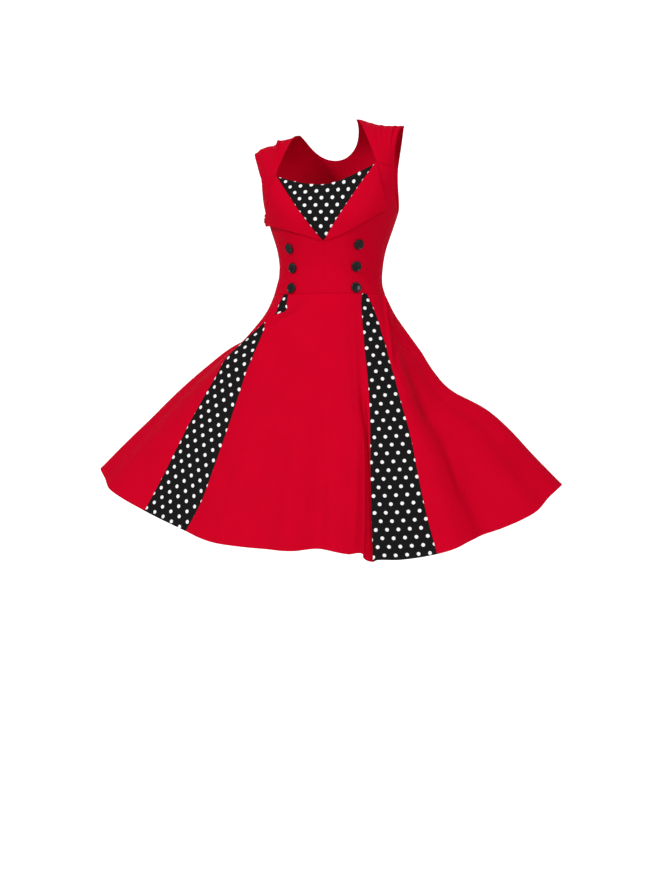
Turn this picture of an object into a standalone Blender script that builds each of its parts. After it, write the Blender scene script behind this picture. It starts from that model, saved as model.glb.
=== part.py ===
"""A-line dress, hollow as it is worn: a sleeveless bodice with lapels turned back from a dotted V
insert, gathered shoulder straps and six buttons, over a flared skirt with two dotted godets, and a
concealed zip in the centre back seam.

Metres, +Z up. The front faces -Y and +X is the wearer's left. The origin lies between the two
shoulder seams, at the mean height of their middles. A turn is an angle round the body, 0 at the
centre front and positive to the wearer's left. A level is the place up or down the cloth: on the
bodice it is the length of cloth above the waist seam in metres, and on the skirt it runs from 0 at
the waist seam to -1 at the hem.
"""
import math

import bmesh
import bpy
from mathutils import Matrix, Vector

# ------------------------------------------------------------------------------ driving sizes
WALL = 0.0016                 # cloth and the seam allowances pressed behind it
SEAM = 0.0003                 # clear gap between two pieces that are sewn together
STEP = 0.001                  # step for reading a surface's slope

SHOULDER_LEVEL = 0.405        # cloth length from the waist seam to the shoulder seam
STRAP_MIDDLE = 0.115          # from the centre line to the middle of a shoulder seam
STRAP_INNER = {"left": 0.056, "right": 0.066}   # to the neck end of each shoulder seam
SHOULDER_SLOPE = 0.30         # fall of a shoulder seam for each metre outwards
SOFT_CENTRE = 0.03            # rounds the slope off where it crosses the centre line

CUP_OUT = 0.014               # how far a bust cup stands out of its section
CUP_TURN = math.radians(36)
CUP_TURN_SPREAD = math.radians(24)
CUP_LEVEL = 0.165
CUP_LEVEL_SPREAD = 0.055

V_LEVEL = 0.109               # level of the point of the V, where the lapels meet
CORNER_LEVEL = 0.2725         # level of the corners of the square neckline
CORNER_X = 0.108
CORNER_FALL = 0.0095          # fall of the corner seams from the neck to the arm
FOLD_BOW = {"left": -0.003, "right": 0.0085}   # how far each side of the V bows outwards
FOLD_BOW_POWER = 0.7
NECK_DIP = 0.040              # how far the insert's top edge dips between the corners
NECK_DIP_POWER = 1.6          # 2 for a parabola, less for straighter sides
NECK_DIP_LEAN = -0.1          # moves the dip towards the wearer's right
UNDERARM_LEVEL = 0.178
BACK_NECK_LEVEL = 0.302       # level of the back neckline at the centre back

ARMHOLE_MIDDLE_LEVEL = 0.280  # where the armholes are cut in most
ARMHOLE_ROUND = 0.7           # how full their lower curve is, 0.5 for an ellipse

LAPEL_WALL = 0.0014
LAPEL_GAP = 0.0006            # from the cloth below, next to the fold
LAPEL_LIFT = 0.0065           # more at the tip
LAPEL_POINT = (0.004, 0.001)  # its lower end: from the centre line and above the point of the V

INSERT_UNDER = 0.0012         # the insert's outer face lies this far behind the front's inner face
INSERT_TUCK = 0.006           # width of insert behind each fold at its point
INSERT_TUCK_TOP = 0.0042      # and at the corners
INSERT_SINK = 0.013           # how far its top edge lies back between the corners

GATHERS = 5                   # gathers across a strap
GATHER_HEIGHT = 0.0022        # at the shoulder seam, fading towards the corner seam
GATHER_LEVEL = 0.300          # where they begin
GATHER_FLAT = 0.013           # they lie flat this close to the shoulder seam
SLACK_BACK_LEVEL = 0.370      # where the back panels begin to follow the slack of the straps

BUTTON_RADIUS = 0.0112
BUTTON_THICK = 0.0032
BUTTON_HOLE_RADIUS = 0.0010
BUTTON_HOLE_SPREAD = 0.0022
BUTTON_HOLES = 4
BUTTON_SIDES = 24
BUTTON_SEAT = 0.0009          # from the cloth to the button's back at its middle

ZIP_SLIDER_BELOW_NECK = 0.012
ZIP_PLATE = (0.0066, 0.0100, 0.0018)   # width, height and thickness of the slider
ZIP_LUG = 0.0011                       # thickness of each lug
ZIP_LUG_RADIUS = 0.0019
ZIP_LUG_GAP = 0.0036                   # between the two lugs
ZIP_PIN_RADIUS = 0.0007
ZIP_PIN_OUT = 0.0026                   # from the plate's outer face to the pin's axis
ZIP_PIN_HEAD = 0.0004                  # how much longer the pin is than the lugs are apart
PULL_THICK = 0.0013
PULL_EYE_RADIUS = 0.0021
PULL_EYE_HOLE = 0.0008
PULL_EYE_CHAMFER = 0.0003              # the eye is this much narrower than the neck
PULL_NECK = 0.0028                     # width between the lugs
PULL_WIDTH = 0.0062
PULL_LENGTH = 0.0180
ROUND_SIDES = 16
HANDS = {1: "left", -1: "right"}       # the hand of each side of the body
SHARP = math.radians(40)               # edges sharper than this are not shaded smooth

# ------------------------------------------------------------------------------ tables
# Sections of the bodice. square: 0 is an ellipse, larger is boxier. tilt: the rise of the wearer's
# left over the right, in degrees. shoulder: share of the shoulder slope.
SECTION_COLUMNS = "level height half_width front back square centre tilt shoulder"
SECTIONS = (
    (0.000, -0.347, 0.1207, 0.0970, 0.0910, 0.10, 0.0003, 0.0, 0.00),
    (0.022, -0.325, 0.1142, 0.0968, 0.0893, 0.10, 0.0003, 0.0, 0.00),
    (0.050, -0.297, 0.1109, 0.0980, 0.0890, 0.10, 0.0033, 0.0, 0.00),
    (0.095, -0.253, 0.1165, 0.1060, 0.0940, 0.20, 0.0045, 0.0, 0.00),
    (0.145, -0.204, 0.1320, 0.1160, 0.1010, 0.40, 0.0050, -0.3, 0.00),
    (0.186, -0.165, 0.1440, 0.1190, 0.1060, 0.60, 0.0055, 0.0, 0.05),
    (0.235, -0.118, 0.1530, 0.1120, 0.1080, 0.90, 0.0060, 3.5, 0.25),
    (0.287, -0.071, 0.1588, 0.0950, 0.1060, 1.30, 0.0060, 7.0, 0.55),
    (0.330, -0.037, 0.1620, 0.0700, 0.0930, 1.60, 0.0050, 9.0, 0.80),
    (0.370, -0.010, 0.1655, 0.0360, 0.0520, 1.90, 0.0030, 10.2, 0.95),
    (0.405, 0.000, 0.1670, 0.0000, 0.0000, 2.00, 0.0020, 10.4, 1.00),
    (0.440, -0.010, 0.1670, -0.0360, -0.0520, 2.00, 0.0020, 10.4, 1.00),
)

# Front and back edges of the armholes, in degrees: where they are cut in most and at the shoulder
# seam, and the power by which they swing from one to the other.
ARMHOLE_COLUMNS = "hand front back tip front_power back_power"
ARMHOLES = (
    ("left", 63.3, 122, 73.3, 2.8, 1.5),
    ("right", 67.5, 122, 88, 1.0, 1.5),
)

# How far the shoulder seams rise off the bodice's sections, for each share of the way from the
# neck to the arm: the left strap curls up at the neck, the right one is slack and has two humps.
STRAP_RISE_COLUMNS = "share left right"
STRAP_RISES = (
    (0.00, 0.0055, -0.0010),
    (0.10, 0.0040, 0.0015),
    (0.20, 0.0005, 0.0050),
    (0.28, -0.0015, 0.0085),
    (0.36, -0.0030, 0.0045),
    (0.50, -0.0036, 0.0095),
    (0.65, -0.0030, 0.0102),
    (0.80, -0.0018, 0.0086),
    (1.00, -0.0002, 0.0070),
)

# Lapels: the middle of the rounded tip, as a distance from the centre line and a level, its radius,
# the arc of the rounding in degrees, and how far the lower edge bows down.
LAPEL_COLUMNS = "hand x level radius arc_low arc_high bow"
LAPELS = (
    ("left", 0.1106, 0.1878, 0.012, -47, 3, 0.008),
    ("right", 0.1270, 0.1580, 0.006, -70, 30, 0.000),
)

# Middles of the buttons, from the waist up on each front.
BUTTON_PLACE_COLUMNS = "hand row x level"
BUTTON_PLACES = (
    ("left", 1, 0.0685, 0.0118),
    ("left", 2, 0.0657, 0.0565),
    ("left", 3, 0.0714, 0.1033),
    ("right", 1, 0.0690, 0.0118),
    ("right", 2, 0.0698, 0.0549),
    ("right", 3, 0.0767, 0.0969),
)

# The hem, for each turn in degrees: how far out of the waist it reaches and how far it drops.
HEM_COLUMNS = "turn reach drop"
HEM = (
    (-180, 0.240, 0.505),
    (-160, 0.245, 0.500),
    (-140, 0.265, 0.480),
    (-120, 0.310, 0.440),
    (-105, 0.355, 0.400),
    (-90, 0.3855, 0.3715),
    (-84, 0.3665, 0.3935),
    (-78, 0.3505, 0.4165),
    (-65, 0.280, 0.4615),
    (-52, 0.231, 0.4955),
    (-42, 0.217, 0.514),
    (-30, 0.196, 0.5255),
    (-16, 0.185, 0.531),
    (-6, 0.185, 0.5335),
    (4, 0.185, 0.529),
    (15, 0.194, 0.539),
    (19.5, 0.1955, 0.538),
    (23, 0.197, 0.555),
    (26, 0.197, 0.551),
    (35, 0.203, 0.551),
    (47, 0.226, 0.540),
    (59, 0.256, 0.5135),
    (70, 0.286, 0.493),
    (80, 0.333, 0.450),
    (90, 0.376, 0.405),
    (105, 0.3515, 0.425),
    (120, 0.315, 0.465),
    (140, 0.270, 0.490),
    (160, 0.248, 0.500),
)

# How the skirt bows out of, or sags behind, the straight line from waist to hem on each side. The
# sag on the left ends where the skirt is held out.
HANG_COLUMNS = "level front left back right right_hip right_fold"
HANG = (
    (-1.00, 0.000, 0.0000, 0.000, 0.0000, 0.000, 0.0000),
    (-0.85, 0.001, -0.0027, 0.004, 0.0014, 0.000, 0.0030),
    (-0.70, 0.003, -0.0026, 0.008, 0.0000, 0.000, 0.0100),
    (-0.60, 0.005, -0.0128, 0.012, 0.0006, 0.002, 0.0137),
    (-0.50, 0.007, -0.0486, 0.016, -0.0015, 0.004, 0.0155),
    (-0.40, 0.008, -0.0480, 0.019, -0.0075, 0.008, 0.0170),
    (-0.30, 0.009, -0.0360, 0.021, -0.0179, 0.016, 0.0200),
    (-0.20, 0.009, -0.0274, 0.020, -0.0458, 0.022, 0.0125),
    (-0.10, 0.006, -0.0176, 0.013, -0.0236, 0.012, 0.0000),
    (0.00, 0.000, 0.0000, 0.000, 0.0000, 0.000, 0.0000),
)
# Where each column of the hang acts: the middle of its reach round the body and its half width.
HANG_REACH = {"left": (92, 45), "right": (-88, 45), "right_hip": (-58, 30), "right_fold": (-66, 18)}

# Soft folds of the skirt: turn at the waist and at the hem and half width in degrees, height of
# the ridge (a trough is negative), and the level where it begins.
FOLD_COLUMNS = "waist_turn hem_turn half_width height begins"
FOLDS = (
    (-30, -35, 9, 0.006, -0.20),
    (-8, -9, 9, 0.009, -0.30),
    (4, 3, 7, -0.008, -0.30),
    (14, 10, 8, 0.007, -0.30),
    (32, 20.5, 4.2, -0.015, -0.02),
    (56, 52, 8, 0.010, -0.10),
    (66, 66, 8, -0.014, -0.05),
    (74, 78, 7, 0.012, -0.25),
    (-104, -106, 9, -0.014, -0.20),
    (-118, -122, 9, 0.016, -0.20),
    (-134, -138, 9, -0.015, -0.25),
    (-150, -153, 9, 0.014, -0.25),
    (-166, -168, 9, -0.010, -0.30),
    (108, 108, 9, -0.014, -0.20),
    (122, 124, 9, 0.016, -0.20),
    (138, 140, 9, -0.015, -0.25),
    (154, 155, 9, 0.014, -0.25),
    (168, 169, 9, -0.010, -0.30),
)

# Seams of the skirt, as turns in degrees at each level.
SEAM_COLUMNS = "level right_side right_outer right_inner left_inner left_outer left_side"
SKIRT_SEAMS = (
    (-1.000, -100, -66.0, -50.8, 24.1, 46.9, 100),
    (-0.860, -100, -66.2, -49.2, 24.7, 47.0, 100),
    (-0.720, -99, -66.5, -49.5, 26.4, 47.7, 99),
    (-0.550, -98, -66.4, -49.6, 29.0, 49.2, 98),
    (-0.420, -97, -66.7, -49.9, 31.0, 49.5, 97),
    (-0.330, -96, -66.0, -49.4, 32.1, 50.0, 96),
    (-0.270, -96, -66.0, -48.0, 32.7, 50.1, 96),
    (-0.200, -95, -62.0, -46.6, 33.4, 50.8, 95),
    (-0.155, -94, -56.0, -47.2, 34.5, 50.7, 94),
    (-0.125, -93, -52.2, -48.2, 34.9, 51.4, 93),
    (-0.100, -92, -46.4, -44.9, 35.8, 51.2, 92),
    (-0.085, -92, -45.1, -40.0, 36.3, 51.1, 92),
    (-0.070, -92, -44.8, -35.1, 36.9, 50.9, 92),
    (-0.035, -91, -46.6, -37.2, 38.5, 50.0, 91),
    (0.000, -90, -47.6, -39.8, 42.0, 48.2, 90),
)
SKIRT_LEVELS = (-1.0, -0.94, -0.86, -0.76, -0.66, -0.58, -0.50, -0.42, -0.34, -0.27, -0.20, -0.155,
                -0.12, -0.095, -0.07, -0.035, 0.0)
CROWD = 1.4                   # how much the front panel's columns crowd towards its deep fold

# Profile of a button from the middle of its back round to the middle of its face, as shares of its
# radius and of its thickness.
BUTTON_COLUMNS = "radius height"
BUTTON_PROFILE = (
    (0.00, 0.00),
    (0.88, 0.00),
    (1.00, 0.45),
    (0.93, 1.00),
    (0.83, 0.92),
    (0.75, 0.62),
    (0.00, 0.62),
)

RED = ("red_cloth", (0.57, 0.002, 0.014), 0.62, 0.0)
DOTTED = ("dotted_cloth", (0.014, 0.014, 0.016), 0.65, 0.0)
BLACK = ("black_button", (0.010, 0.010, 0.011), 0.28, 0.0)
STEEL = ("zip_metal", (0.45, 0.45, 0.46), 0.35, 1.0)


# ------------------------------------------------------------------------------ reading tables
def named(columns, rows):
    """The rows of a table as dictionaries."""
    return [dict(zip(columns.split(), row)) for row in rows]


def along(rows, key, value):
    """Every column of a table at one value of its key, on a smooth curve through its rows."""
    index = sum(row[key] <= value for row in rows) - 1
    index = max(0, min(len(rows) - 2, index))
    low, high = rows[index], rows[index + 1]
    before, after = rows[max(index - 1, 0)], rows[min(index + 2, len(rows) - 1)]
    span = high[key] - low[key]
    share = (value - low[key]) / span
    out = {}
    for column in low:
        start = (high[column] - before[column]) / (high[key] - before[key]) * span
        end = (after[column] - low[column]) / (after[key] - low[key]) * span
        out[column] = (low[column] * (1 + 2 * share) * (1 - share) ** 2
                       + start * share * (1 - share) ** 2
                       + high[column] * share ** 2 * (3 - 2 * share)
                       + end * share ** 2 * (share - 1))
    return out


def ease(share):
    """0 to 1 with soft ends."""
    share = max(0.0, min(1.0, share))
    return share * share * (3 - 2 * share)


def bell(distance, half_width):
    """1 in the middle, falling softly to 0 at the half width."""
    return 0.5 + 0.5 * math.cos(math.pi * min(1.0, abs(distance) / half_width))


SECTION_ROWS = named(SECTION_COLUMNS, SECTIONS)
HANG_ROWS = named(HANG_COLUMNS, HANG)
ARMHOLE_OF = {row["hand"]: row for row in named(ARMHOLE_COLUMNS, ARMHOLES)}
STRAP_RISE_ROWS = named(STRAP_RISE_COLUMNS, STRAP_RISES)
LAPEL_OF = {row["hand"]: row for row in named(LAPEL_COLUMNS, LAPELS)}
FOLD_ROWS = named(FOLD_COLUMNS, FOLDS)
SEAM_ROWS = named(SEAM_COLUMNS, SKIRT_SEAMS)
HEM_ONCE = named(HEM_COLUMNS, HEM)
HEM_ROWS = ([{**row, "turn": row["turn"] - 360} for row in HEM_ONCE[-3:]] + HEM_ONCE
            + [{**row, "turn": row["turn"] + 360} for row in HEM_ONCE[:3]])


# ------------------------------------------------------------------------------ the two surfaces
def bodice(turn, level):
    """Point of the bodice's outer face."""
    section = along(SECTION_ROWS, "level", level)
    depth = section["front"] if math.cos(turn) > 0 else section["back"]
    square = section["square"]
    x = section["half_width"] * math.sin(turn)
    y = -depth * math.tanh(square * math.cos(turn)) / math.tanh(square)
    for side in (-1, 1):
        beside = (turn - side * CUP_TURN) / CUP_TURN_SPREAD
        above = (level - CUP_LEVEL) / CUP_LEVEL_SPREAD
        y -= CUP_OUT * math.exp(-beside ** 2 - above ** 2)
    outwards = math.hypot(x, SOFT_CENTRE) - STRAP_MIDDLE
    z = section["height"] - section["shoulder"] * SHOULDER_SLOPE * outwards
    z += x * math.tan(math.radians(section["tilt"]))
    return Vector((x + section["centre"], y, z))


def skirt(turn, level):
    """Point of the skirt's outer face."""
    degrees = math.degrees(turn)
    hem = along(HEM_ROWS, "turn", degrees)
    hang = along(HANG_ROWS, "level", level)
    front_back = hang["front"] if math.cos(turn) > 0 else hang["back"]
    out = -hem["reach"] * level + front_back * math.cos(turn) ** 2
    for column, (middle, half_width) in HANG_REACH.items():
        out += hang[column] * bell(degrees - middle, half_width)
    for fold in FOLD_ROWS:
        middle = fold["waist_turn"] - (fold["hem_turn"] - fold["waist_turn"]) * level
        grown = ease((fold["begins"] - level) / (1 + fold["begins"]))
        out += fold["height"] * grown * bell(degrees - middle, fold["half_width"])
    waist = bodice(turn, 0.0)
    return waist + Vector((out * math.sin(turn), -out * math.cos(turn), hem["drop"] * level))


def outward(surface, turn, level):
    """Unit normal of a surface, out of the body."""
    round_body = surface(turn + STEP, level) - surface(turn - STEP, level)
    up_cloth = surface(turn, level + STEP) - surface(turn, level - STEP)
    return round_body.cross(up_cloth).normalized()


def turn_at(x, level, back=False):
    """Turn of the bodice's point at a distance x from the centre line."""
    turn = math.asin(max(-1.0, min(1.0, x / along(SECTION_ROWS, "level", level)["half_width"])))
    return math.copysign(math.pi, x) - turn if back else turn


# ------------------------------------------------------------------------------ making pieces
def finish(name, mesh, cloth):
    """Make an object of a bmesh, shaded smooth, in one of the finishes."""
    data = bpy.data.meshes.new(name)
    mesh.to_mesh(data)
    mesh.free()
    data.shade_smooth()
    data.set_sharp_from_angle(angle=SHARP)
    made = bpy.data.objects.new(name, data)
    bpy.context.scene.collection.objects.link(made)
    data.materials.append(finish_of(name, *cloth))
    return made


def finish_of(name, finish_name, colour, roughness, metallic):
    """A Principled material of the piece's own."""
    material = bpy.data.materials.new(f"{name}_{finish_name}")
    material.use_nodes = True
    shader = material.node_tree.nodes["Principled BSDF"]
    shader.inputs["Base Color"].default_value = (*colour, 1)
    shader.inputs["Roughness"].default_value = roughness
    shader.inputs["Metallic"].default_value = metallic
    material.diffuse_color = (*colour, 1)
    return material


def cut_piece(name, place, columns, rows, cloth):
    """A closed wall of cloth: a flat slab of columns and rows, carried on to its place.

    place(across, up, depth) takes across and up from 0 to 1 and depth 0 outside or 1 inside."""
    slab = bmesh.new()
    bmesh.ops.create_grid(slab, x_segments=columns, y_segments=rows, size=0.5)
    inside = bmesh.ops.extrude_face_region(slab, geom=slab.faces[:])["geom"]
    corners = [item for item in inside if isinstance(item, bmesh.types.BMVert)]
    bmesh.ops.translate(slab, verts=corners, vec=(0, 0, -1))
    bmesh.ops.recalc_face_normals(slab, faces=slab.faces[:])
    for vertex in slab.verts:
        vertex.co = place(vertex.co.x + 0.5, vertex.co.y + 0.5, -vertex.co.z)
    return finish(name, slab, cloth)


def between(surface, first, second, levels, wall=WALL, rise=None, fall=None, crowd=1.0):
    """Place function of a piece between two edges, each a turn for every level.

    Each edge stands half a seam gap back. rise(turn, level) lifts the piece off the surface,
    fall(across, level) lowers its rows, and crowd draws its columns to the second edge."""
    def place(across, up, depth):
        level = levels[round(up * (len(levels) - 1))]
        level -= fall(across, level) if fall else 0.0
        across = 1 - (1 - across) ** crowd
        start, end = first(level), second(level)
        width = (surface(end, level) - surface(start, level)).length
        trim = 0.5 * SEAM / width
        turn = start + (end - start) * (trim + across * (1 - 2 * trim))
        point = surface(turn, level) - depth * wall * outward(surface, turn, level)
        return point + Vector((0, 0, rise(turn, level) if rise else 0))
    return place


def steps(first, last, count):
    """Even steps from first to last."""
    return [first + (last - first) * i / count for i in range(count + 1)]


def round_steps(first, last, count):
    """Steps that begin close together, for an edge that leaves level and turns upright."""
    return [first + (last - first) * (1 - math.cos(math.pi / 2 * i / count))
            for i in range(count + 1)]


# ------------------------------------------------------------------------------ bodice edges
def armhole(side, back):
    """Edge of the armhole as a turn for each level, and the side seam below it."""
    row = ARMHOLE_OF[HANDS[side]]
    inner = math.radians(row["back" if back else "front"])
    tip = math.radians(180 - row["tip"] if back else row["tip"])
    power = row["back_power" if back else "front_power"]

    def edge(level):
        rise = (level - UNDERARM_LEVEL) / (ARMHOLE_MIDDLE_LEVEL - UNDERARM_LEVEL)
        rise = max(0.0, min(1.0, rise))
        turn = math.pi / 2 + (inner - math.pi / 2) * (1 - (1 - rise) ** 2) ** ARMHOLE_ROUND
        above = (level - ARMHOLE_MIDDLE_LEVEL) / (SHOULDER_LEVEL - ARMHOLE_MIDDLE_LEVEL)
        return side * (turn + (tip - inner) * max(0.0, above) ** power)
    return edge


def fold_bow(side, level):
    """How far the edge of the V bows out of the straight line from its point to its corner."""
    rise = max(0.0, min(1.0, (level - V_LEVEL) / (CORNER_LEVEL - V_LEVEL)))
    return FOLD_BOW[HANDS[side]] * math.sin(math.pi * rise) ** FOLD_BOW_POWER


def fold_line(side):
    """Edge of the V as a turn for each level: the centre seam below the V's point."""
    def edge(level):
        rise = max(0.0, (level - V_LEVEL) / (CORNER_LEVEL - V_LEVEL))
        return side * turn_at(rise * CORNER_X + fold_bow(side, level), level)
    return edge


def strap_neck(side):
    """Neck edge of a strap."""
    def edge(level):
        rise = (level - CORNER_LEVEL) / (SHOULDER_LEVEL - CORNER_LEVEL)
        return side * turn_at(CORNER_X + (STRAP_INNER[HANDS[side]] - CORNER_X) * rise, level)
    return edge


def back_neck(side):
    """Scooped back neckline, and the centre back seam below it."""
    def edge(level):
        rise = max(0.0, (level - BACK_NECK_LEVEL) / (SHOULDER_LEVEL - BACK_NECK_LEVEL))
        x = STRAP_INNER[HANDS[side]] * math.sqrt(max(0.0, 1 - (1 - rise) ** 2))
        return side * abs(turn_at(x, level, back=True))
    return edge


def gather(side, back=False):
    """How far a strap's gathers and its slack rise off the sections, most at the shoulder seam.

    The top of a back panel follows the slack alone."""
    neck = back_neck(side) if back else strap_neck(side)
    arm = armhole(side, back)
    begins = SLACK_BACK_LEVEL if back else GATHER_LEVEL

    def height(turn, level):
        share = max(0.0, min(1.0, (turn - neck(level)) / (arm(level) - neck(level))))
        grown = ease((level - begins) / (SHOULDER_LEVEL - begins))
        slack = along(STRAP_RISE_ROWS, "share", share)[HANDS[side]]
        if back:
            return grown * slack
        deep = GATHER_HEIGHT * ease((SHOULDER_LEVEL - level) / GATHER_FLAT)
        return grown * (slack + deep * math.sin(math.pi * GATHERS * share) ** 2)
    return height


def ordered(side, inner, outer):
    """The two edges of a piece in the order of rising turn."""
    return (inner, outer) if side > 0 else (outer, inner)


def corner_fall(side, far_level):
    """Fall of a piece's rows towards the arm, whole at the corner seam, none at the far level."""
    def fall(across, level):
        share = across if side > 0 else 1 - across
        return CORNER_FALL * share * ease((level - far_level) / (CORNER_LEVEL - far_level))
    return fall


# ------------------------------------------------------------------------------ bodice pieces
def bodice_fronts(side, hand):
    """Front panel from the waist up to the corner seam, open along the V."""
    levels = (steps(SEAM / 2, V_LEVEL, 6) + steps(V_LEVEL, UNDERARM_LEVEL, 3)[1:]
              + round_steps(UNDERARM_LEVEL, CORNER_LEVEL - SEAM / 2, 8)[1:])
    edges = ordered(side, fold_line(side), armhole(side, back=False))
    place = between(bodice, *edges, levels, fall=corner_fall(side, UNDERARM_LEVEL))
    cut_piece(f"bodice_front_{hand}", place, 12, len(levels) - 1, RED)


def straps(side, hand):
    """Gathered strap from the corner seam to the shoulder seam."""
    levels = steps(CORNER_LEVEL + SEAM / 2, SHOULDER_LEVEL - SEAM / 2, 9)
    edges = ordered(side, strap_neck(side), armhole(side, back=False))
    place = between(bodice, *edges, levels, rise=gather(side),
                    fall=corner_fall(side, SHOULDER_LEVEL))
    cut_piece(f"shoulder_strap_{hand}", place, 4 * GATHERS, len(levels) - 1, RED)


def bodice_backs(side, hand):
    """Back panel from the waist to the shoulder seam."""
    levels = (steps(SEAM / 2, UNDERARM_LEVEL, 8)
              + round_steps(UNDERARM_LEVEL, BACK_NECK_LEVEL, 6)[1:]
              + round_steps(BACK_NECK_LEVEL, SHOULDER_LEVEL - SEAM / 2, 7)[1:])
    edges = ordered(side, armhole(side, back=True), back_neck(side))
    place = between(bodice, *edges, levels, rise=gather(side, back=True))
    cut_piece(f"bodice_back_{hand}", place, 12, len(levels) - 1, RED)


def neck_insert():
    """Dotted V insert, tucked behind the two folds, its top edge dipping between the corners."""
    low = V_LEVEL - INSERT_TUCK

    def place(across, up, depth):
        sideways = 2 * across - 1
        dip = NECK_DIP * (1 - abs(sideways) ** NECK_DIP_POWER) * (1 + NECK_DIP_LEAN * sideways)
        top = CORNER_LEVEL - SEAM - dip
        level = low + up * (top - low)
        half = INSERT_TUCK + up * (CORNER_X + INSERT_TUCK_TOP - INSERT_TUCK)
        half += fold_bow(math.copysign(1, sideways), level)
        turn = turn_at(sideways * half, level)
        behind = WALL + INSERT_UNDER + INSERT_SINK * up ** 2 * (1 - sideways ** 2)
        return bodice(turn, level) - (behind + depth * WALL) * outward(bodice, turn, level)
    cut_piece("neck_insert", place, 14, 10, DOTTED)


def lapels(side, hand):
    """Lapel turned back along the fold line, lifting off the front towards its tip."""
    row = LAPEL_OF[hand]
    tip = Vector((row["x"], row["level"]))
    point = Vector((0, V_LEVEL)) + Vector(LAPEL_POINT)
    corner = Vector((CORNER_X, CORNER_LEVEL - SEAM))

    def place(across, up, depth):
        across = across if side > 0 else 1 - across
        fold = point.lerp(corner, up)
        fold.x += fold_bow(side, fold.y)
        angle = math.radians(row["arc_low"] + (row["arc_high"] - row["arc_low"]) * up)
        round_tip = tip + row["radius"] * Vector((math.cos(angle), math.sin(angle)))
        flat = fold.lerp(round_tip, across)
        flat.y -= row["bow"] * 4 * across * (1 - across) * (1 - up) ** 2
        turn = side * turn_at(flat.x, flat.y)
        off = LAPEL_GAP + LAPEL_LIFT * across ** 2 + LAPEL_WALL * (1 - depth)
        return bodice(turn, flat.y) + off * outward(bodice, turn, flat.y)
    cut_piece(f"lapel_{hand}", place, 12, 10, RED)


# ------------------------------------------------------------------------------ skirt pieces
def seam(column):
    """A skirt seam as a turn for each level."""
    return lambda level: math.radians(along(SEAM_ROWS, "level", level)[column])


def skirt_piece(name, first, second, columns, cloth, crowd=1.0):
    """Skirt panel between two of the seams, from the hem to the waist seam."""
    levels = SKIRT_LEVELS[:-1] + (-SEAM / 2 / HEM_ONCE[0]["drop"],)
    place = between(skirt, first, second, levels, crowd=crowd)
    cut_piece(name, place, columns, len(levels) - 1, cloth)


def skirt_pieces():
    """The seven panels of the skirt."""
    skirt_piece("skirt_front", seam("right_inner"), seam("left_inner"), 22, RED, CROWD)
    skirt_piece("godet_right", seam("right_outer"), seam("right_inner"), 6, DOTTED)
    skirt_piece("godet_left", seam("left_inner"), seam("left_outer"), 7, DOTTED)
    skirt_piece("skirt_side_right", seam("right_side"), seam("right_outer"), 12, RED)
    skirt_piece("skirt_side_left", seam("left_outer"), seam("left_side"), 14, RED)
    skirt_piece("skirt_back_right", lambda level: -math.pi, seam("right_side"), 21, RED)
    skirt_piece("skirt_back_left", seam("left_side"), lambda level: math.pi, 21, RED)


# ------------------------------------------------------------------------------ buttons
def lathe(profile, sides):
    """A bmesh of a profile of (radius, height) points turned about Z, closed on the axis."""
    turned = bmesh.new()
    corners = [turned.verts.new((radius, 0, height)) for radius, height in profile]
    edges = [turned.edges.new(pair) for pair in zip(corners, corners[1:])]
    bmesh.ops.spin(turned, geom=corners + edges, cent=(0, 0, 0), axis=(0, 0, 1),
                   angle=2 * math.pi, steps=sides, use_merge=True)
    bmesh.ops.remove_doubles(turned, verts=turned.verts[:], dist=1e-6)
    bmesh.ops.recalc_face_normals(turned, faces=turned.faces[:])
    return turned


def as_object(name, mesh):
    """A plain object of a bmesh, for a master or a cutter."""
    data = bpy.data.meshes.new(name)
    mesh.to_mesh(data)
    mesh.free()
    made = bpy.data.objects.new(name, data)
    bpy.context.scene.collection.objects.link(made)
    return made


def button_mesh():
    """A dished button with a raised rim and four sewing holes."""
    profile = [(BUTTON_RADIUS * row["radius"], BUTTON_THICK * row["height"])
               for row in named(BUTTON_COLUMNS, BUTTON_PROFILE)]
    master = as_object("button_master", lathe(profile, BUTTON_SIDES))
    holes = bmesh.new()
    for i in range(BUTTON_HOLES):
        angle = math.pi / 4 + i * 2 * math.pi / BUTTON_HOLES
        at = Vector((math.cos(angle), math.sin(angle), 0)) * BUTTON_HOLE_SPREAD
        bmesh.ops.create_cone(holes, cap_ends=True, segments=8, radius1=BUTTON_HOLE_RADIUS,
                              radius2=BUTTON_HOLE_RADIUS, depth=4 * BUTTON_THICK,
                              matrix=Matrix.Translation(at))
    cutter = as_object("button_holes", holes)
    cut = master.modifiers.new("holes", "BOOLEAN")
    cut.operation = "DIFFERENCE"
    cut.object = cutter
    depsgraph = bpy.context.evaluated_depsgraph_get()
    mesh = bpy.data.meshes.new_from_object(master.evaluated_get(depsgraph))
    for helper in (master, cutter):
        bpy.data.objects.remove(helper)
    mesh.shade_smooth()
    mesh.set_sharp_from_angle(angle=SHARP)
    return mesh


def seat_on(turn, level, gap):
    """Placement on the bodice with local Z out of the cloth and local Y up it."""
    out = outward(bodice, turn, level)
    right = Vector((0, 0, 1)).cross(out).normalized()
    up = out.cross(right)
    turned = Matrix((right, up, out)).transposed().to_4x4()
    return Matrix.Translation(bodice(turn, level) + gap * out) @ turned


def buttons():
    """Three buttons on each front, from the waist up."""
    mesh = button_mesh()
    for place in named(BUTTON_PLACE_COLUMNS, BUTTON_PLACES):
        name = f"button_{place['hand']}_{place['row']}"
        made = bpy.data.objects.new(name, mesh.copy())
        side = 1 if place["hand"] == "left" else -1
        turn = side * turn_at(place["x"], place["level"])
        made.matrix_world = seat_on(turn, place["level"], BUTTON_SEAT)
        made.data.materials.append(finish_of(name, *BLACK))
        bpy.context.scene.collection.objects.link(made)
    bpy.data.meshes.remove(mesh)


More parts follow.
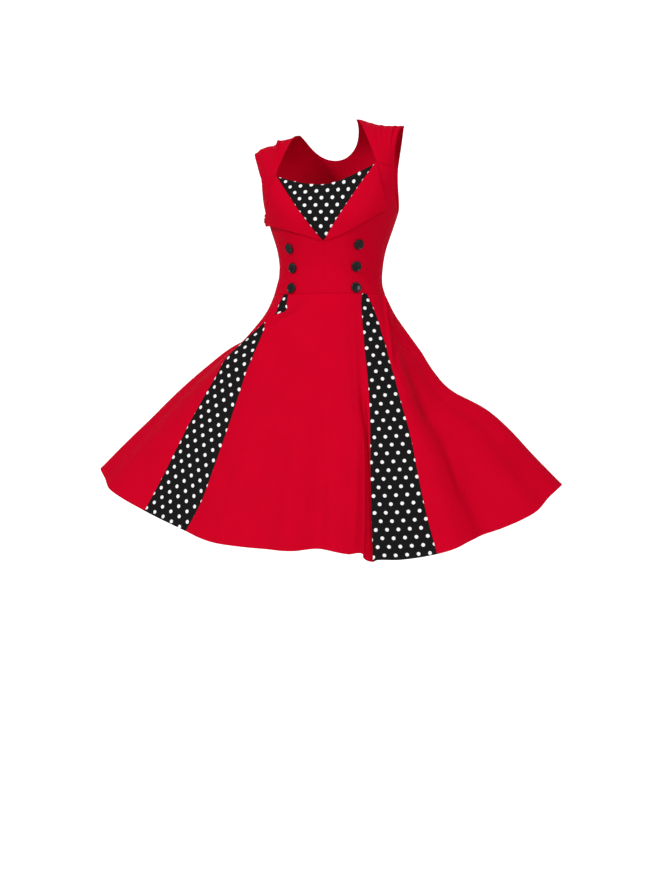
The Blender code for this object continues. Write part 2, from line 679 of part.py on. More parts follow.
# ------------------------------------------------------------------------------ zip
def box(width, height, thick, centre):
    """A bmesh box."""
    made = bmesh.new()
    placed = Matrix.Translation(centre) @ Matrix.Diagonal((width, height, thick, 1))
    bmesh.ops.create_cube(made, size=1, matrix=placed)
    return made


def rod(radius, length, centre):
    """A bmesh rod along X."""
    made = bmesh.new()
    lying = Matrix.Translation(centre) @ Matrix.Rotation(math.pi / 2, 4, "Y")
    bmesh.ops.create_cone(made, cap_ends=True, segments=ROUND_SIDES, radius1=radius,
                          radius2=radius, depth=length, matrix=lying)
    return made


def fuse(name, operations, metal):
    """One solid from a first bmesh and (operation, bmesh) pairs worked on it in turn."""
    base = as_object(name, operations[0][1])
    helpers = []
    for operation, mesh in operations[1:]:
        helper = as_object(f"{name}_helper", mesh)
        helpers.append(helper)
        step = base.modifiers.new(operation.lower(), "BOOLEAN")
        step.operation = operation
        step.object = helper
    depsgraph = bpy.context.evaluated_depsgraph_get()
    mesh = bpy.data.meshes.new_from_object(base.evaluated_get(depsgraph))
    for helper in helpers + [base]:
        bpy.data.objects.remove(helper)
    mesh.shade_smooth()
    mesh.set_sharp_from_angle(angle=SHARP)
    made = bpy.data.objects.new(name, mesh)
    bpy.context.scene.collection.objects.link(made)
    made.data.materials.append(finish_of(name, *metal))
    return made


def extruded(outline, way):
    """A bmesh of a flat outline of points, extruded one way."""
    made = bmesh.new()
    face = made.faces.new([made.verts.new(point) for point in outline])
    walls = bmesh.ops.extrude_face_region(made, geom=[face])["geom"]
    far = [item for item in walls if isinstance(item, bmesh.types.BMVert)]
    bmesh.ops.translate(made, verts=far, vec=way)
    bmesh.ops.recalc_face_normals(made, faces=made.faces[:])
    return made


def lug(middle_x, pin_height):
    """One lug of the slider: upright sides and a round top about the pin."""
    near = middle_x - ZIP_LUG / 2
    radius = ZIP_LUG_RADIUS
    round_top = [(near, radius * math.cos(angle), pin_height + radius * math.sin(angle))
                 for angle in steps(0, math.pi, ROUND_SIDES // 2)]
    feet = [(near, -radius, ZIP_PLATE[2] / 2), (near, radius, ZIP_PLATE[2] / 2)]
    return extruded(round_top + feet, (ZIP_LUG, 0, 0))


def pull_tab():
    """The drop-shaped tab below the eye, whose middle is the origin."""
    wide = PULL_WIDTH / 2
    shoulder = -PULL_EYE_RADIUS - PULL_NECK / 2
    drop = [(-wide * math.cos(angle), -PULL_THICK / 2, wide - PULL_LENGTH - wide * math.sin(angle))
            for angle in steps(0, math.pi, ROUND_SIDES // 2)]
    left = [(-PULL_NECK / 2, -PULL_THICK / 2, 0), (-PULL_NECK / 2, -PULL_THICK / 2, shoulder)]
    right = [(PULL_NECK / 2, -PULL_THICK / 2, shoulder), (PULL_NECK / 2, -PULL_THICK / 2, 0)]
    return extruded(left + drop + right, (0, PULL_THICK, 0))


def zip_fastener():
    """Slider at the top of the centre back seam, and its pull on a pin between two lugs."""
    width, height, thick = ZIP_PLATE
    seat = seat_on(math.pi, BACK_NECK_LEVEL - ZIP_SLIDER_BELOW_NECK, SEAM)
    pin = Vector((0, 0, thick + ZIP_PIN_OUT))
    lug_x = (ZIP_LUG_GAP + ZIP_LUG) / 2
    slider = fuse("zip_slider", [
        ("BASE", box(width, height, thick, Vector((0, 0, thick / 2)))),
        ("UNION", lug(-lug_x, pin.z)),
        ("UNION", lug(lug_x, pin.z)),
        ("UNION", rod(ZIP_PIN_RADIUS, ZIP_LUG_GAP + 2 * ZIP_LUG + ZIP_PIN_HEAD, pin))], STEEL)
    slider.matrix_world = seat

    origin = Vector((0, 0, 0))
    pull = fuse("zip_pull", [
        ("BASE", pull_tab()),
        ("UNION", rod(PULL_EYE_RADIUS, PULL_NECK - PULL_EYE_CHAMFER, origin)),
        ("DIFFERENCE", rod(PULL_EYE_HOLE, 3 * PULL_NECK, origin))], STEEL)
    pull.matrix_world = Matrix.Translation(seat @ pin)


# ------------------------------------------------------------------------------ the dress
def main():
    for item in list(bpy.data.objects):
        bpy.data.objects.remove(item)
    for side, hand in HANDS.items():
        bodice_fronts(side, hand)
        bodice_backs(side, hand)
        straps(side, hand)
        lapels(side, hand)
    neck_insert()
    skirt_pieces()
    buttons()
    zip_fastener()


main()
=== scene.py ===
"""The looks of an A-line dress: thin walls of red and dotted cloth with their seams, folds, turned
hem and rolled lapels, four-hole buttons, thread and a zip, on the frame of the dress's solids.

Metres, +Z up, front -Y, +X the wearer's left. A turn is an angle round the body, 0 at the centre
front and positive to the wearer's left. A level is the place up or down the cloth: metres of cloth
above the waist seam on the bodice, and 0 at the waist seam to -1 at the hem on the skirt. Surfaces
take arrays of turns and levels and give arrays of points. A sheet is an array of points with rows of
rising level and columns of rising turn.
"""
import math

import bmesh
import bpy
import numpy as np
from mathutils import Matrix, Vector

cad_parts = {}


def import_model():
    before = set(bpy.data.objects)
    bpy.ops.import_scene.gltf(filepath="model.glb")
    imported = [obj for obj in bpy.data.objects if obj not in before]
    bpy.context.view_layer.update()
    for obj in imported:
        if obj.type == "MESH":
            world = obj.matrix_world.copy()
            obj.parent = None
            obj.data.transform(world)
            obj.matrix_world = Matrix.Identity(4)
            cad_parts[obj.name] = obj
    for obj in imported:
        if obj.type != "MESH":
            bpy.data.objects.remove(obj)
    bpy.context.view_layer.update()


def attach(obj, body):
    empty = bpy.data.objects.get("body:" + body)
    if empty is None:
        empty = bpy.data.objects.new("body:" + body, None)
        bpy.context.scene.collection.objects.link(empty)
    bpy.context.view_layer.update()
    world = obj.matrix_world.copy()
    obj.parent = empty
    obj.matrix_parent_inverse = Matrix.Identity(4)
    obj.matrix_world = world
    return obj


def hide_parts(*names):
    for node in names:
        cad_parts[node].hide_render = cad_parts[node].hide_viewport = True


# ---------------- sizes of the solids
SHOULDER_LEVEL = 0.405
STRAP_MIDDLE = 0.115
STRAP_INNER = {"left": 0.056, "right": 0.066}
SHOULDER_SLOPE = 0.30
SOFT_CENTRE = 0.03

CUP_OUT = 0.014
CUP_TURN = math.radians(36)
CUP_TURN_SPREAD = math.radians(24)
CUP_LEVEL = 0.165
CUP_LEVEL_SPREAD = 0.055

V_LEVEL = 0.109
CORNER_LEVEL = 0.2725
CORNER_X = 0.108
CORNER_FALL = 0.0095
FOLD_BOW = {"left": -0.003, "right": 0.0085}
FOLD_BOW_POWER = 0.7
NECK_DIP = 0.040
NECK_DIP_POWER = 1.6
NECK_DIP_LEAN = -0.1
UNDERARM_LEVEL = 0.178
BACK_NECK_LEVEL = 0.302
ARMHOLE_MIDDLE_LEVEL = 0.280
ARMHOLE_ROUND = 0.7

LAPEL_FACE = 0.0020           # from the bodice to a lapel's face, next to the fold
LAPEL_LIFT = 0.0065
LAPEL_POINT = (0.004, 0.001)

INSERT_BEHIND = 0.0028
INSERT_TUCK = 0.006
INSERT_TUCK_TOP = 0.0042
INSERT_SINK = 0.013

SLACK_LEVEL = {False: 0.300, True: 0.370}   # where the straps and the backs begin to rise

BUTTON_RADIUS = 0.0112
BUTTON_THICK = 0.0032
BUTTON_HOLE_RADIUS = 0.0010
BUTTON_HOLE_SPREAD = 0.0022
BUTTON_HOLES = 4
BUTTON_SEAT = 0.0009
BUTTON_SOFT = 0.00012         # how far the edges of its holes are rounded off

ZIP_SLIDER_BELOW_NECK = 0.012
ZIP_SEAT = 0.0003
ZIP_PLATE = (0.0066, 0.0100, 0.0018)
ZIP_LUG = 0.0011
ZIP_LUG_RADIUS = 0.0019
ZIP_LUG_GAP = 0.0036
ZIP_PIN_RADIUS = 0.0007
ZIP_PIN_OUT = 0.0026
ZIP_PIN_HEAD = 0.0004
PULL_THICK = 0.0013
PULL_EYE_RADIUS = 0.0021
PULL_EYE_HOLE = 0.0008
PULL_EYE_CHAMFER = 0.0003
PULL_NECK = 0.0028
PULL_WIDTH = 0.0062
PULL_LENGTH = 0.0180
METAL_SOFT = 0.0002           # how far the metal's edges are rounded off
HANDS = {1: "left", -1: "right"}

# ---------------- sizes of the cloth
CLOTH = 0.0009                # one wall of cloth
SEAM_DEPTH = 0.0006           # how far the cloth sinks into a seam
SEAM_SOFT = 0.0016            # half width of the groove there
WAIST_SEWN = 0.45             # the waist seam and the centre front seam are pressed flatter
FRONT_SEWN = 0.6
ALLOWANCE = 0.012             # width of the cloth pressed open behind a seam
ALLOWANCE_BULK = 0.0005
HEM_TURN = 0.0078             # width of the turned hem
HEM_BULK = 0.0009             # extra thickness of its folded layers
HEM_STITCH = 0.0066           # from the hem's edge to its line of stitches
STITCH_DEPTH = 0.0003         # how far that line is drawn in, and its half width
STITCH_WIDTH = 0.0009
HEM_SOFT = 0.001              # how softly the step at the turned hem begins
HEM_INWARD = 0.7              # share of its bulk that lies inside
ALLOWANCE_SOFT = 0.0015
EDGE_ROUND = 0.46             # a free edge is rounded by this share of the wall on each face
STITCH = 0.0026               # length of a stitch
STITCH_PITCH = 0.0034
THREAD_RADIUS = 0.00028
STITCH_ARCH = 2               # rise of a stitch's middle over its ends, in radii of the thread
STITCH_SUNK = 1.2             # how deep its ends lie
BUTTON_THREAD = 0.0005        # radius of a bar of thread on a button
GATHER_FLAT = 0.020           # the gathers lie flat this close to the shoulder seam
GATHER_SPREAD = 0.6           # how much wider one is at its lower end
GATHER_HOLD = 1.7             # how long it keeps its height on the way down
LAPEL_CLOTH = 0.0016          # a lapel is two layers
LAPEL_THICKENS = 8            # which it reaches this many times sooner than its free edge
ROLL_OUT = 0.0016             # half width of the rolled edge of a lapel
ROLL_PAST = 0.0009            # how far the roll reaches past the edge of the V
ROLL_BEHIND = 0.006           # width of cloth behind the front

# The front panel's fold that laps over the top of the right godet.
LIP_LEVEL = -0.103
LIP_SPREAD = 0.034
LIP_TURN = 4.5
LIP_LIFT = 0.0035

DOT_RADIUS = 0.0039
DOT_SOFT = 0.00015            # half width of a dot's soft rim
DOT_WHITE = (0.85, 0.85, 0.85, 1)
WEAVE_PITCH = 0.0009

# ---------------- tables
def table(columns, rows):
    """A table as one array for each named column."""
    return {name: np.array(column, float) for name, column in zip(columns.split(), zip(*rows))}


def named(columns, rows):
    """The rows of a table as dictionaries."""
    return [dict(zip(columns.split(), row)) for row in rows]


# Sections of the bodice, as in the solids.
SECTIONS = table("level height half_width front back square centre tilt shoulder", (
    (0, -0.347, 0.1207, 0.097, 0.091, 0.1, 0.0003, 0, 0),
    (0.022, -0.325, 0.1142, 0.0968, 0.0893, 0.1, 0.0003, 0, 0),
    (0.05, -0.297, 0.1109, 0.098, 0.089, 0.1, 0.0033, 0, 0),
    (0.095, -0.253, 0.1165, 0.106, 0.094, 0.2, 0.0045, 0, 0),
    (0.145, -0.204, 0.132, 0.116, 0.101, 0.4, 0.005, -0.3, 0),
    (0.186, -0.165, 0.144, 0.119, 0.106, 0.6, 0.0055, 0, 0.05),
    (0.235, -0.118, 0.153, 0.112, 0.108, 0.9, 0.006, 3.5, 0.25),
    (0.287, -0.071, 0.1588, 0.095, 0.106, 1.3, 0.006, 7, 0.55),
    (0.33, -0.037, 0.162, 0.07, 0.093, 1.6, 0.005, 9, 0.8),
    (0.37, -0.01, 0.1655, 0.036, 0.052, 1.9, 0.003, 10.2, 0.95),
    (0.405, 0, 0.167, 0, 0, 2, 0.002, 10.4, 1),
    (0.44, -0.01, 0.167, -0.036, -0.052, 2, 0.002, 10.4, 1),
))

# Front and back edges of the armholes in degrees, as in the solids.
ARMHOLES = {row["hand"]: row for row in named("hand front back tip front_power back_power", (
    ("left", 63.3, 122, 73.3, 2.8, 1.5),
    ("right", 67.5, 122, 88, 1, 1.5),
))}

# How far the shoulder seams rise, for each share of the way from the neck to the arm.
STRAP_RISES = table("share left right", (
    (0, 0.0055, -0.001),
    (0.1, 0.004, 0.0015),
    (0.2, 0.0005, 0.005),
    (0.28, -0.0015, 0.0085),
    (0.36, -0.003, 0.0045),
    (0.5, -0.0036, 0.0095),
    (0.65, -0.003, 0.0102),
    (0.8, -0.0018, 0.0086),
    (1, -0.0002, 0.007),
))

# Lapels: middle of the rounded tip, its radius and arc, and how far the lower edge bows down.
LAPELS = {row["hand"]: row for row in named("hand x level radius arc_low arc_high bow", (
    ("left", 0.1106, 0.1878, 0.012, -47, 3, 0.008),
    ("right", 0.127, 0.158, 0.006, -70, 30, 0),
))}

# Middles of the buttons, from the waist up on each front.
BUTTONS = named("hand row x level", (
    ("left", 1, 0.0685, 0.0118),
    ("left", 2, 0.0657, 0.0565),
    ("left", 3, 0.0714, 0.1033),
    ("right", 1, 0.069, 0.0118),
    ("right", 2, 0.0698, 0.0549),
    ("right", 3, 0.0767, 0.0969),
))

# Profile of a button from the middle of its back round to the middle of its face, as shares of its
# radius and of its thickness.
BUTTON_PROFILE = named("radius height", (
    (0, 0),
    (0.84, 0),
    (0.94, 0.1),
    (0.99, 0.3),
    (1, 0.52),
    (0.98, 0.78),
    (0.94, 0.95),
    (0.895, 1),
    (0.85, 0.96),
    (0.8, 0.82),
    (0.74, 0.69),
    (0.66, 0.63),
    (0, 0.6),
))

# The hem, for each turn in degrees: how far out of the waist it reaches and how far it drops.
HEM_ONCE = (
    (-180, 0.24, 0.505),
    (-160, 0.245, 0.5),
    (-140, 0.265, 0.48),
    (-120, 0.31, 0.44),
    (-105, 0.355, 0.4),
    (-90, 0.3855, 0.3715),
    (-84, 0.3665, 0.3935),
    (-78, 0.3505, 0.4165),
    (-65, 0.28, 0.4615),
    (-52, 0.231, 0.4955),
    (-42, 0.217, 0.514),
    (-30, 0.196, 0.5255),
    (-16, 0.185, 0.531),
    (-6, 0.185, 0.5335),
    (4, 0.185, 0.529),
    (15, 0.194, 0.539),
    (19.5, 0.1955, 0.538),
    (23, 0.197, 0.555),
    (26, 0.197, 0.551),
    (35, 0.203, 0.551),
    (47, 0.226, 0.54),
    (59, 0.256, 0.5135),
    (70, 0.286, 0.493),
    (80, 0.333, 0.45),
    (90, 0.376, 0.405),
    (105, 0.3515, 0.425),
    (120, 0.315, 0.465),
    (140, 0.27, 0.49),
    (160, 0.248, 0.5),
)
HEM = table("turn reach drop",
            [(turn - 360, reach, drop) for turn, reach, drop in HEM_ONCE[-3:]] + list(HEM_ONCE)
            + [(turn + 360, reach, drop) for turn, reach, drop in HEM_ONCE[:3]])

# How the skirt bows out of, or sags behind, the straight line from waist to hem on each side.
HANG = table("level front left back right right_hip right_fold", (
    (-1, 0, 0, 0, 0, 0, 0),
    (-0.85, 0.001, -0.0027, 0.004, 0.0014, 0, 0.003),
    (-0.7, 0.003, -0.0026, 0.008, 0, 0, 0.01),
    (-0.6, 0.005, -0.0128, 0.012, 0.0006, 0.002, 0.0137),
    (-0.5, 0.007, -0.0486, 0.016, -0.0015, 0.004, 0.0155),
    (-0.4, 0.008, -0.048, 0.019, -0.0075, 0.008, 0.017),
    (-0.3, 0.009, -0.036, 0.021, -0.0179, 0.016, 0.02),
    (-0.2, 0.009, -0.0274, 0.02, -0.0458, 0.022, 0.0125),
    (-0.1, 0.006, -0.0176, 0.013, -0.0236, 0.012, 0),
    (0, 0, 0, 0, 0, 0, 0),
))
HANG_REACH = {"left": (92, 45), "right": (-88, 45), "right_hip": (-58, 30), "right_fold": (-66, 18)}

# Soft folds of the skirt, as in the solids.
FOLDS = named("waist_turn hem_turn half_width height begins", (
    (-30, -35, 9, 0.006, -0.2),
    (-8, -9, 9, 0.009, -0.3),
    (4, 3, 7, -0.008, -0.3),
    (14, 10, 8, 0.007, -0.3),
    (32, 20.5, 4.2, -0.015, -0.02),
    (56, 52, 8, 0.01, -0.1),
    (66, 66, 8, -0.014, -0.05),
    (74, 78, 7, 0.012, -0.25),
    (-104, -106, 9, -0.014, -0.2),
    (-118, -122, 9, 0.016, -0.2),
    (-134, -138, 9, -0.015, -0.25),
    (-150, -153, 9, 0.014, -0.25),
    (-166, -168, 9, -0.01, -0.3),
    (108, 108, 9, -0.014, -0.2),
    (122, 124, 9, 0.016, -0.2),
    (138, 140, 9, -0.015, -0.25),
    (154, 155, 9, 0.014, -0.25),
    (168, 169, 9, -0.01, -0.3),
))

# Seams of the skirt, as turns in degrees at each level.
SEAMS = table("level right_side right_outer right_inner left_inner left_outer left_side", (
    (-1, -100, -66, -50.8, 24.1, 46.9, 100),
    (-0.86, -100, -66.2, -49.2, 24.7, 47, 100),
    (-0.72, -99, -66.5, -49.5, 26.4, 47.7, 99),
    (-0.55, -98, -66.4, -49.6, 29, 49.2, 98),
    (-0.42, -97, -66.7, -49.9, 31, 49.5, 97),
    (-0.33, -96, -66, -49.4, 32.1, 50, 96),
    (-0.27, -96, -66, -48, 32.7, 50.1, 96),
    (-0.2, -95, -62, -46.6, 33.4, 50.8, 95),
    (-0.155, -94, -56, -47.2, 34.5, 50.7, 94),
    (-0.125, -93, -52.2, -48.2, 34.9, 51.4, 93),
    (-0.1, -92, -46.4, -44.9, 35.8, 51.2, 92),
    (-0.085, -92, -45.1, -40, 36.3, 51.1, 92),
    (-0.07, -92, -44.8, -35.1, 36.9, 50.9, 92),
    (-0.035, -91, -46.6, -37.2, 38.5, 50, 91),
    (0, -90, -47.6, -39.8, 42, 48.2, 90),
))

# Panels of the skirt: their two edges in the order of rising turn, and columns of faces.
SKIRT_PANELS = named("name node first second columns", (
    ("skirt_front_cloth", "skirt_front", "fold", "left_inner", 140),
    ("skirt_side_cloth_right", "skirt_side_right", "right_side", "right_outer", 100),
    ("skirt_side_cloth_left", "skirt_side_left", "left_outer", "left_side", 120),
    ("skirt_back_cloth_right", "skirt_back_right", "back_right", "right_side", 140),
    ("skirt_back_cloth_left", "skirt_back_left", "left_side", "back_left", 140),
    ("godet_cloth_right", "godet_right", "right_outer", "right_inner", 44),
    ("godet_cloth_left", "godet_left", "left_inner", "left_outer", 44),
))

# Creases, listed one by one: the two ends as turns in degrees and levels, the bow of the middle in
# degrees, half widths on the two sides and height in millimetres, and 1 if the first end is at full
# height.
CREASE_COLUMNS = "turn_1 level_1 turn_2 level_2 bow wide_1 wide_2 height full"
BODICE_CREASES = named(CREASE_COLUMNS, (
    (44, 0.15, 66, 0.168, 0, 7, 7, -0.8, 0),
    (-48, 0.128, -70, 0.15, 0, 6, 6, -0.8, 0),
    (-60, 0.02, -84, 0.06, 0, 8, 6, 0.9, 0),
    (62, 0.016, 84, 0.05, 0, 8, 6, 0.8, 0),
    (-68, 0.226, -52, 0.238, 1, 2, 3, 0.7, 1),
    (-69, 0.212, -54, 0.226, -1, 2, 3, -0.6, 1),
    (-70, 0.199, -52, 0.211, 1, 3, 2, 0.8, 1),
    (-82, 0.182, -56, 0.19, -2, 3, 3, 0.6, 1),
))
SKIRT_CREASES = named(CREASE_COLUMNS, (
    (78.5, -0.004, 51, -0.29, -5.5, 3, 2.2, 5, 1),
    (84, -0.006, 53.6, -0.33, -5.5, 4.2, 3, -4.6, 0),
    (69, -0.112, 85, -0.262, 0, 2.8, 2, 5, 1),
    (67, -0.15, 83, -0.3, 0, 5, 5, -2.6, 0),
    (99, -0.484, 79, -0.6, 0, 3, 5, -2.2, 1),
    (66, -0.6, 61, -0.86, 1, 9, 9, -2.4, 0),
    (4, -0.48, 13, -0.82, 0, 12, 14, -2.2, 0),
    (-10, -0.024, -56, -0.154, 0, 4.4, 2.6, 5.4, 0),
    (-20, -0.016, -50, -0.092, 0, 6, 5, -2.4, 0),
    (20.7, -1, 27.5, -0.42, 0, 16, 9, 10, 1),
    (23.2, -1, 28.6, -0.34, 0.3, 5, 3.8, -11.5, 1),
))

# Gathers of the straps: where each lies across the strap, from the neck, at the shoulder seam and at
# its lower end, the level that it reaches down to, its half width as a share and height in mm.
GATHER_COLUMNS = "at_seam at_end level half_width height"
GATHERS = {
    "left": named(GATHER_COLUMNS, (
        (0.05, 0.02, 0.275, 0.05, 1.2),
        (0.16, 0.12, 0.33, 0.08, -1),
        (0.24, 0.25, 0.345, 0.04, 1.2),
        (0.33, 0.3, 0.3, 0.06, -1.4),
        (0.43, 0.38, 0.3, 0.045, 1.5),
        (0.49, 0.45, 0.3, 0.04, -1.2),
        (0.58, 0.56, 0.3, 0.06, 0.9),
        (0.73, 0.73, 0.28, 0.08, 1.7),
        (0.8, 0.81, 0.285, 0.04, -2),
        (0.9, 0.9, 0.31, 0.05, 1.1),
    )),
    "right": named(GATHER_COLUMNS, (
        (0.02, 0.02, 0.274, 0.04, 2.4),
        (0.1, 0.08, 0.276, 0.06, -1.8),
        (0.24, 0.11, 0.274, 0.04, -2),
        (0.29, 0.16, 0.272, 0.035, 3.8),
        (0.37, 0.26, 0.29, 0.06, -1.4),
        (0.53, 0.47, 0.3, 0.09, -1.4),
        (0.66, 0.62, 0.3, 0.08, 1.6),
        (0.78, 0.78, 0.31, 0.05, -1.8),
        (0.87, 0.88, 0.32, 0.06, 1.7),
    )),
}

# Dots of the three dotted pieces in millimetres on the flat cloth: from dot to dot along a row, from
# row to row, and one dot's place aside of the grain line and up the cloth.
DOTS = {row["piece"]: row for row in named("piece spacing rows aside up", (
    ("insert", 23.7, 15.72, -5.8, 14.1),
    ("godet_right", 24.6, 17.42, 0, 6.5),
    ("godet_left", 23.7, 18.14, 0, 9.4),
))}

# Grain of the godets for each place up the cloth: its drift to the wearer's left and the rise of the
# rows of dots towards the wearer's right, in millimetres and as a share.
GRAIN = {"godet_right": table("up drift slant", (
    (0, 12.5, 0.07),
    (60, 8.5, 0.076),
    (120, 5.4, 0.096),
    (180, 6.6, 0.13),
    (240, 9.4, 0.138),
    (300, 10.3, 0.13),
    (360, 11.3, 0.13),
    (600, 12, 0.13),
)), "godet_left": table("up drift slant", (
    (0, -14.2, 0.028),
    (60, -12.3, 0.03),
    (120, -9.7, 0.027),
    (180, -8.7, 0.03),
    (240, -9.1, 0.035),
    (300, -9.2, 0.01),
    (420, -9, -0.04),
    (600, -6.6, -0.06),
))}


# ---------------- reading tables
def along(rows, key, value):
    """Every column of a table at values of its key, on smooth curves through its rows."""
    keys, value = rows[key], np.asarray(value, float)
    low = np.clip(np.searchsorted(keys, value, side="right") - 1, 0, len(keys) - 2)
    high, before, after = low + 1, np.maximum(low - 1, 0), np.minimum(low + 2, len(keys) - 1)
    span = keys[high] - keys[low]
    share = (value - keys[low]) / span
    out = {}
    for name, column in rows.items():
        start = (column[high] - column[before]) / (keys[high] - keys[before]) * span
        end = (column[after] - column[low]) / (keys[after] - keys[low]) * span
        out[name] = (column[low] * (1 + 2 * share) * (1 - share) ** 2
                     + start * share * (1 - share) ** 2
                     + column[high] * share ** 2 * (3 - 2 * share)
                     + end * share ** 2 * (share - 1))
    return out


def ease(share):
    """0 to 1 with soft ends."""
    share = np.clip(share, 0.0, 1.0)
    return share * share * (3 - 2 * share)


def part(value, start, end):
    """How far a value lies on the way from the start to the end."""
    return (value - start) / (end - start)


def mix(start, end, share):
    """The value at a share of the way from the start to the end."""
    return start + (end - start) * share


def bell(distance, half_width):
    """1 in the middle, falling softly to 0 at the half width."""
    return 0.5 + 0.5 * np.cos(np.pi * np.minimum(1.0, np.abs(distance) / half_width))


# ---------------- the two surfaces
def bodice(turn, level):
    """Points of the bodice's outer face."""
    turn, level = np.broadcast_arrays(np.asarray(turn, float), np.asarray(level, float))
    section = along(SECTIONS, "level", level)
    depth = np.where(np.cos(turn) > 0, section["front"], section["back"])
    square = section["square"]
    x = section["half_width"] * np.sin(turn)
    y = -depth * np.tanh(square * np.cos(turn)) / np.tanh(square)
    for side in (-1, 1):
        beside = (turn - side * CUP_TURN) / CUP_TURN_SPREAD
        above = (level - CUP_LEVEL) / CUP_LEVEL_SPREAD
        y = y - CUP_OUT * np.exp(-beside ** 2 - above ** 2)
    outwards = np.hypot(x, SOFT_CENTRE) - STRAP_MIDDLE
    z = section["height"] - section["shoulder"] * SHOULDER_SLOPE * outwards
    z = z + x * np.tan(np.radians(section["tilt"]))
    return np.stack((x + section["centre"], y, z), axis=-1)


def skirt(turn, level):
    """Points of the skirt's outer face."""
    turn, level = np.broadcast_arrays(np.asarray(turn, float), np.asarray(level, float))
    degrees = np.degrees(turn)
    hem = along(HEM, "turn", degrees)
    hang = along(HANG, "level", level)
    front_back = np.where(np.cos(turn) > 0, hang["front"], hang["back"])
    out = -hem["reach"] * level + front_back * np.cos(turn) ** 2
    for column, (middle, half_width) in HANG_REACH.items():
        out = out + hang[column] * bell(degrees - middle, half_width)
    for fold in FOLDS:
        middle = mix(fold["waist_turn"], fold["hem_turn"], -level)
        grown = ease((fold["begins"] - level) / (1 + fold["begins"]))
        out = out + fold["height"] * grown * bell(degrees - middle, fold["half_width"])
    waist = bodice(turn, 0.0)
    return waist + np.stack((out * np.sin(turn), -out * np.cos(turn), hem["drop"] * level), axis=-1)


def turn_at(x, level, back=False):
    """Turn of the bodice's points at a distance x from the centre line."""
    x = np.asarray(x, float)
    turn = np.arcsin(np.clip(x / along(SECTIONS, "level", level)["half_width"], -1.0, 1.0))
    return np.copysign(np.pi, x) - turn if back else turn


def unit(vectors):
    """The vectors at length 1."""
    return vectors / np.maximum(np.linalg.norm(vectors, axis=-1, keepdims=True), 1e-12)


def normals_of(points):
    """Outward unit normals of a sheet."""
    return unit(np.cross(np.gradient(points, axis=1), np.gradient(points, axis=0)))


# ---------------- creases
def creased(points, surface, creases):
    """The sheet moved level in or out by the creases, so that its edges keep their heights."""
    out = np.zeros(points.shape[:-1])
    normals = normals_of(points)
    steps = np.linspace(0, 1, 11)
    for crease in creases:
        bow = crease["bow"] * 4 * steps * (1 - steps)
        turns = np.radians(mix(crease["turn_1"], crease["turn_2"], steps) + bow)
        line = surface(turns, mix(crease["level_1"], crease["level_2"], steps))
        widest = 0.001 * max(crease["wide_1"], crease["wide_2"])
        low, high = line.min(axis=0) - 3 * widest, line.max(axis=0) + 3 * widest
        near = np.all((points > low) & (points < high), axis=-1)
        if not near.any():
            continue
        spots, ups = points[near], normals[near]
        least = np.full(len(spots), np.inf)
        share, side = np.zeros(len(spots)), np.zeros(len(spots))
        for step, (start, end) in enumerate(zip(line, line[1:])):
            way = end - start
            reached = np.clip((spots - start) @ way / (way @ way), 0, 1)
            away = spots - start - reached[:, None] * way
            distance = np.linalg.norm(away, axis=-1)
            closer = distance < least
            least[closer] = distance[closer]
            share[closer] = ((step + reached) / (len(steps) - 1))[closer]
            side[closer] = np.einsum("ij,ij->i", np.cross(way, away), ups)[closer]
        width = 0.001 * np.where(side > 0, crease["wide_1"], crease["wide_2"])
        fade = ease(4 * (1 - share)) * (1.0 if crease["full"] else ease(4 * share))
        out[near] += 0.001 * crease["height"] * fade * np.exp(-(least / width) ** 2)
    return points + out[..., None] * normals * (1, 1, 0)


# ---------------- walls of cloth
def closer_to_ends(count, pull=0.88):
    """Shares from 0 to 1 whose steps shorten towards both ends."""
    share = np.linspace(0, 1, count + 1)
    return share - pull * np.sin(2 * np.pi * share) / (2 * np.pi)


def rows_between(*parts):
    """Levels of the rows of a sheet made in parts, each a count, its low and its high level."""
    levels = [mix(low, high, closer_to_ends(count)) for count, low, high in parts]
    return np.concatenate([levels[0]] + [more[1:] for more in levels[1:]])


def run(points, axis):
    """Length along each row or column of a sheet, from its first point."""
    steps = np.linalg.norm(np.diff(points, axis=axis), axis=-1)
    return np.concatenate((np.zeros_like(np.take(steps, [0], axis)), np.cumsum(steps, axis)), axis)


def from_edges(points):
    """How far each point is from the sheet's first, second, low and top edge."""
    across, up = run(points, 1), run(points, 0)
    distances = {"first": across, "second": across[:, -1:] - across,
                 "low": up, "top": up[-1:] - up}
    for edge, column, beside in (("first", 0, 1), ("second", -1, -2)):
        lean = np.cross(unit(np.gradient(points[:, column], axis=0)),
                        unit(points[:, beside] - points[:, column]))
        distances[edge] = distances[edge] * np.linalg.norm(lean, axis=-1)[:, None]
    return distances


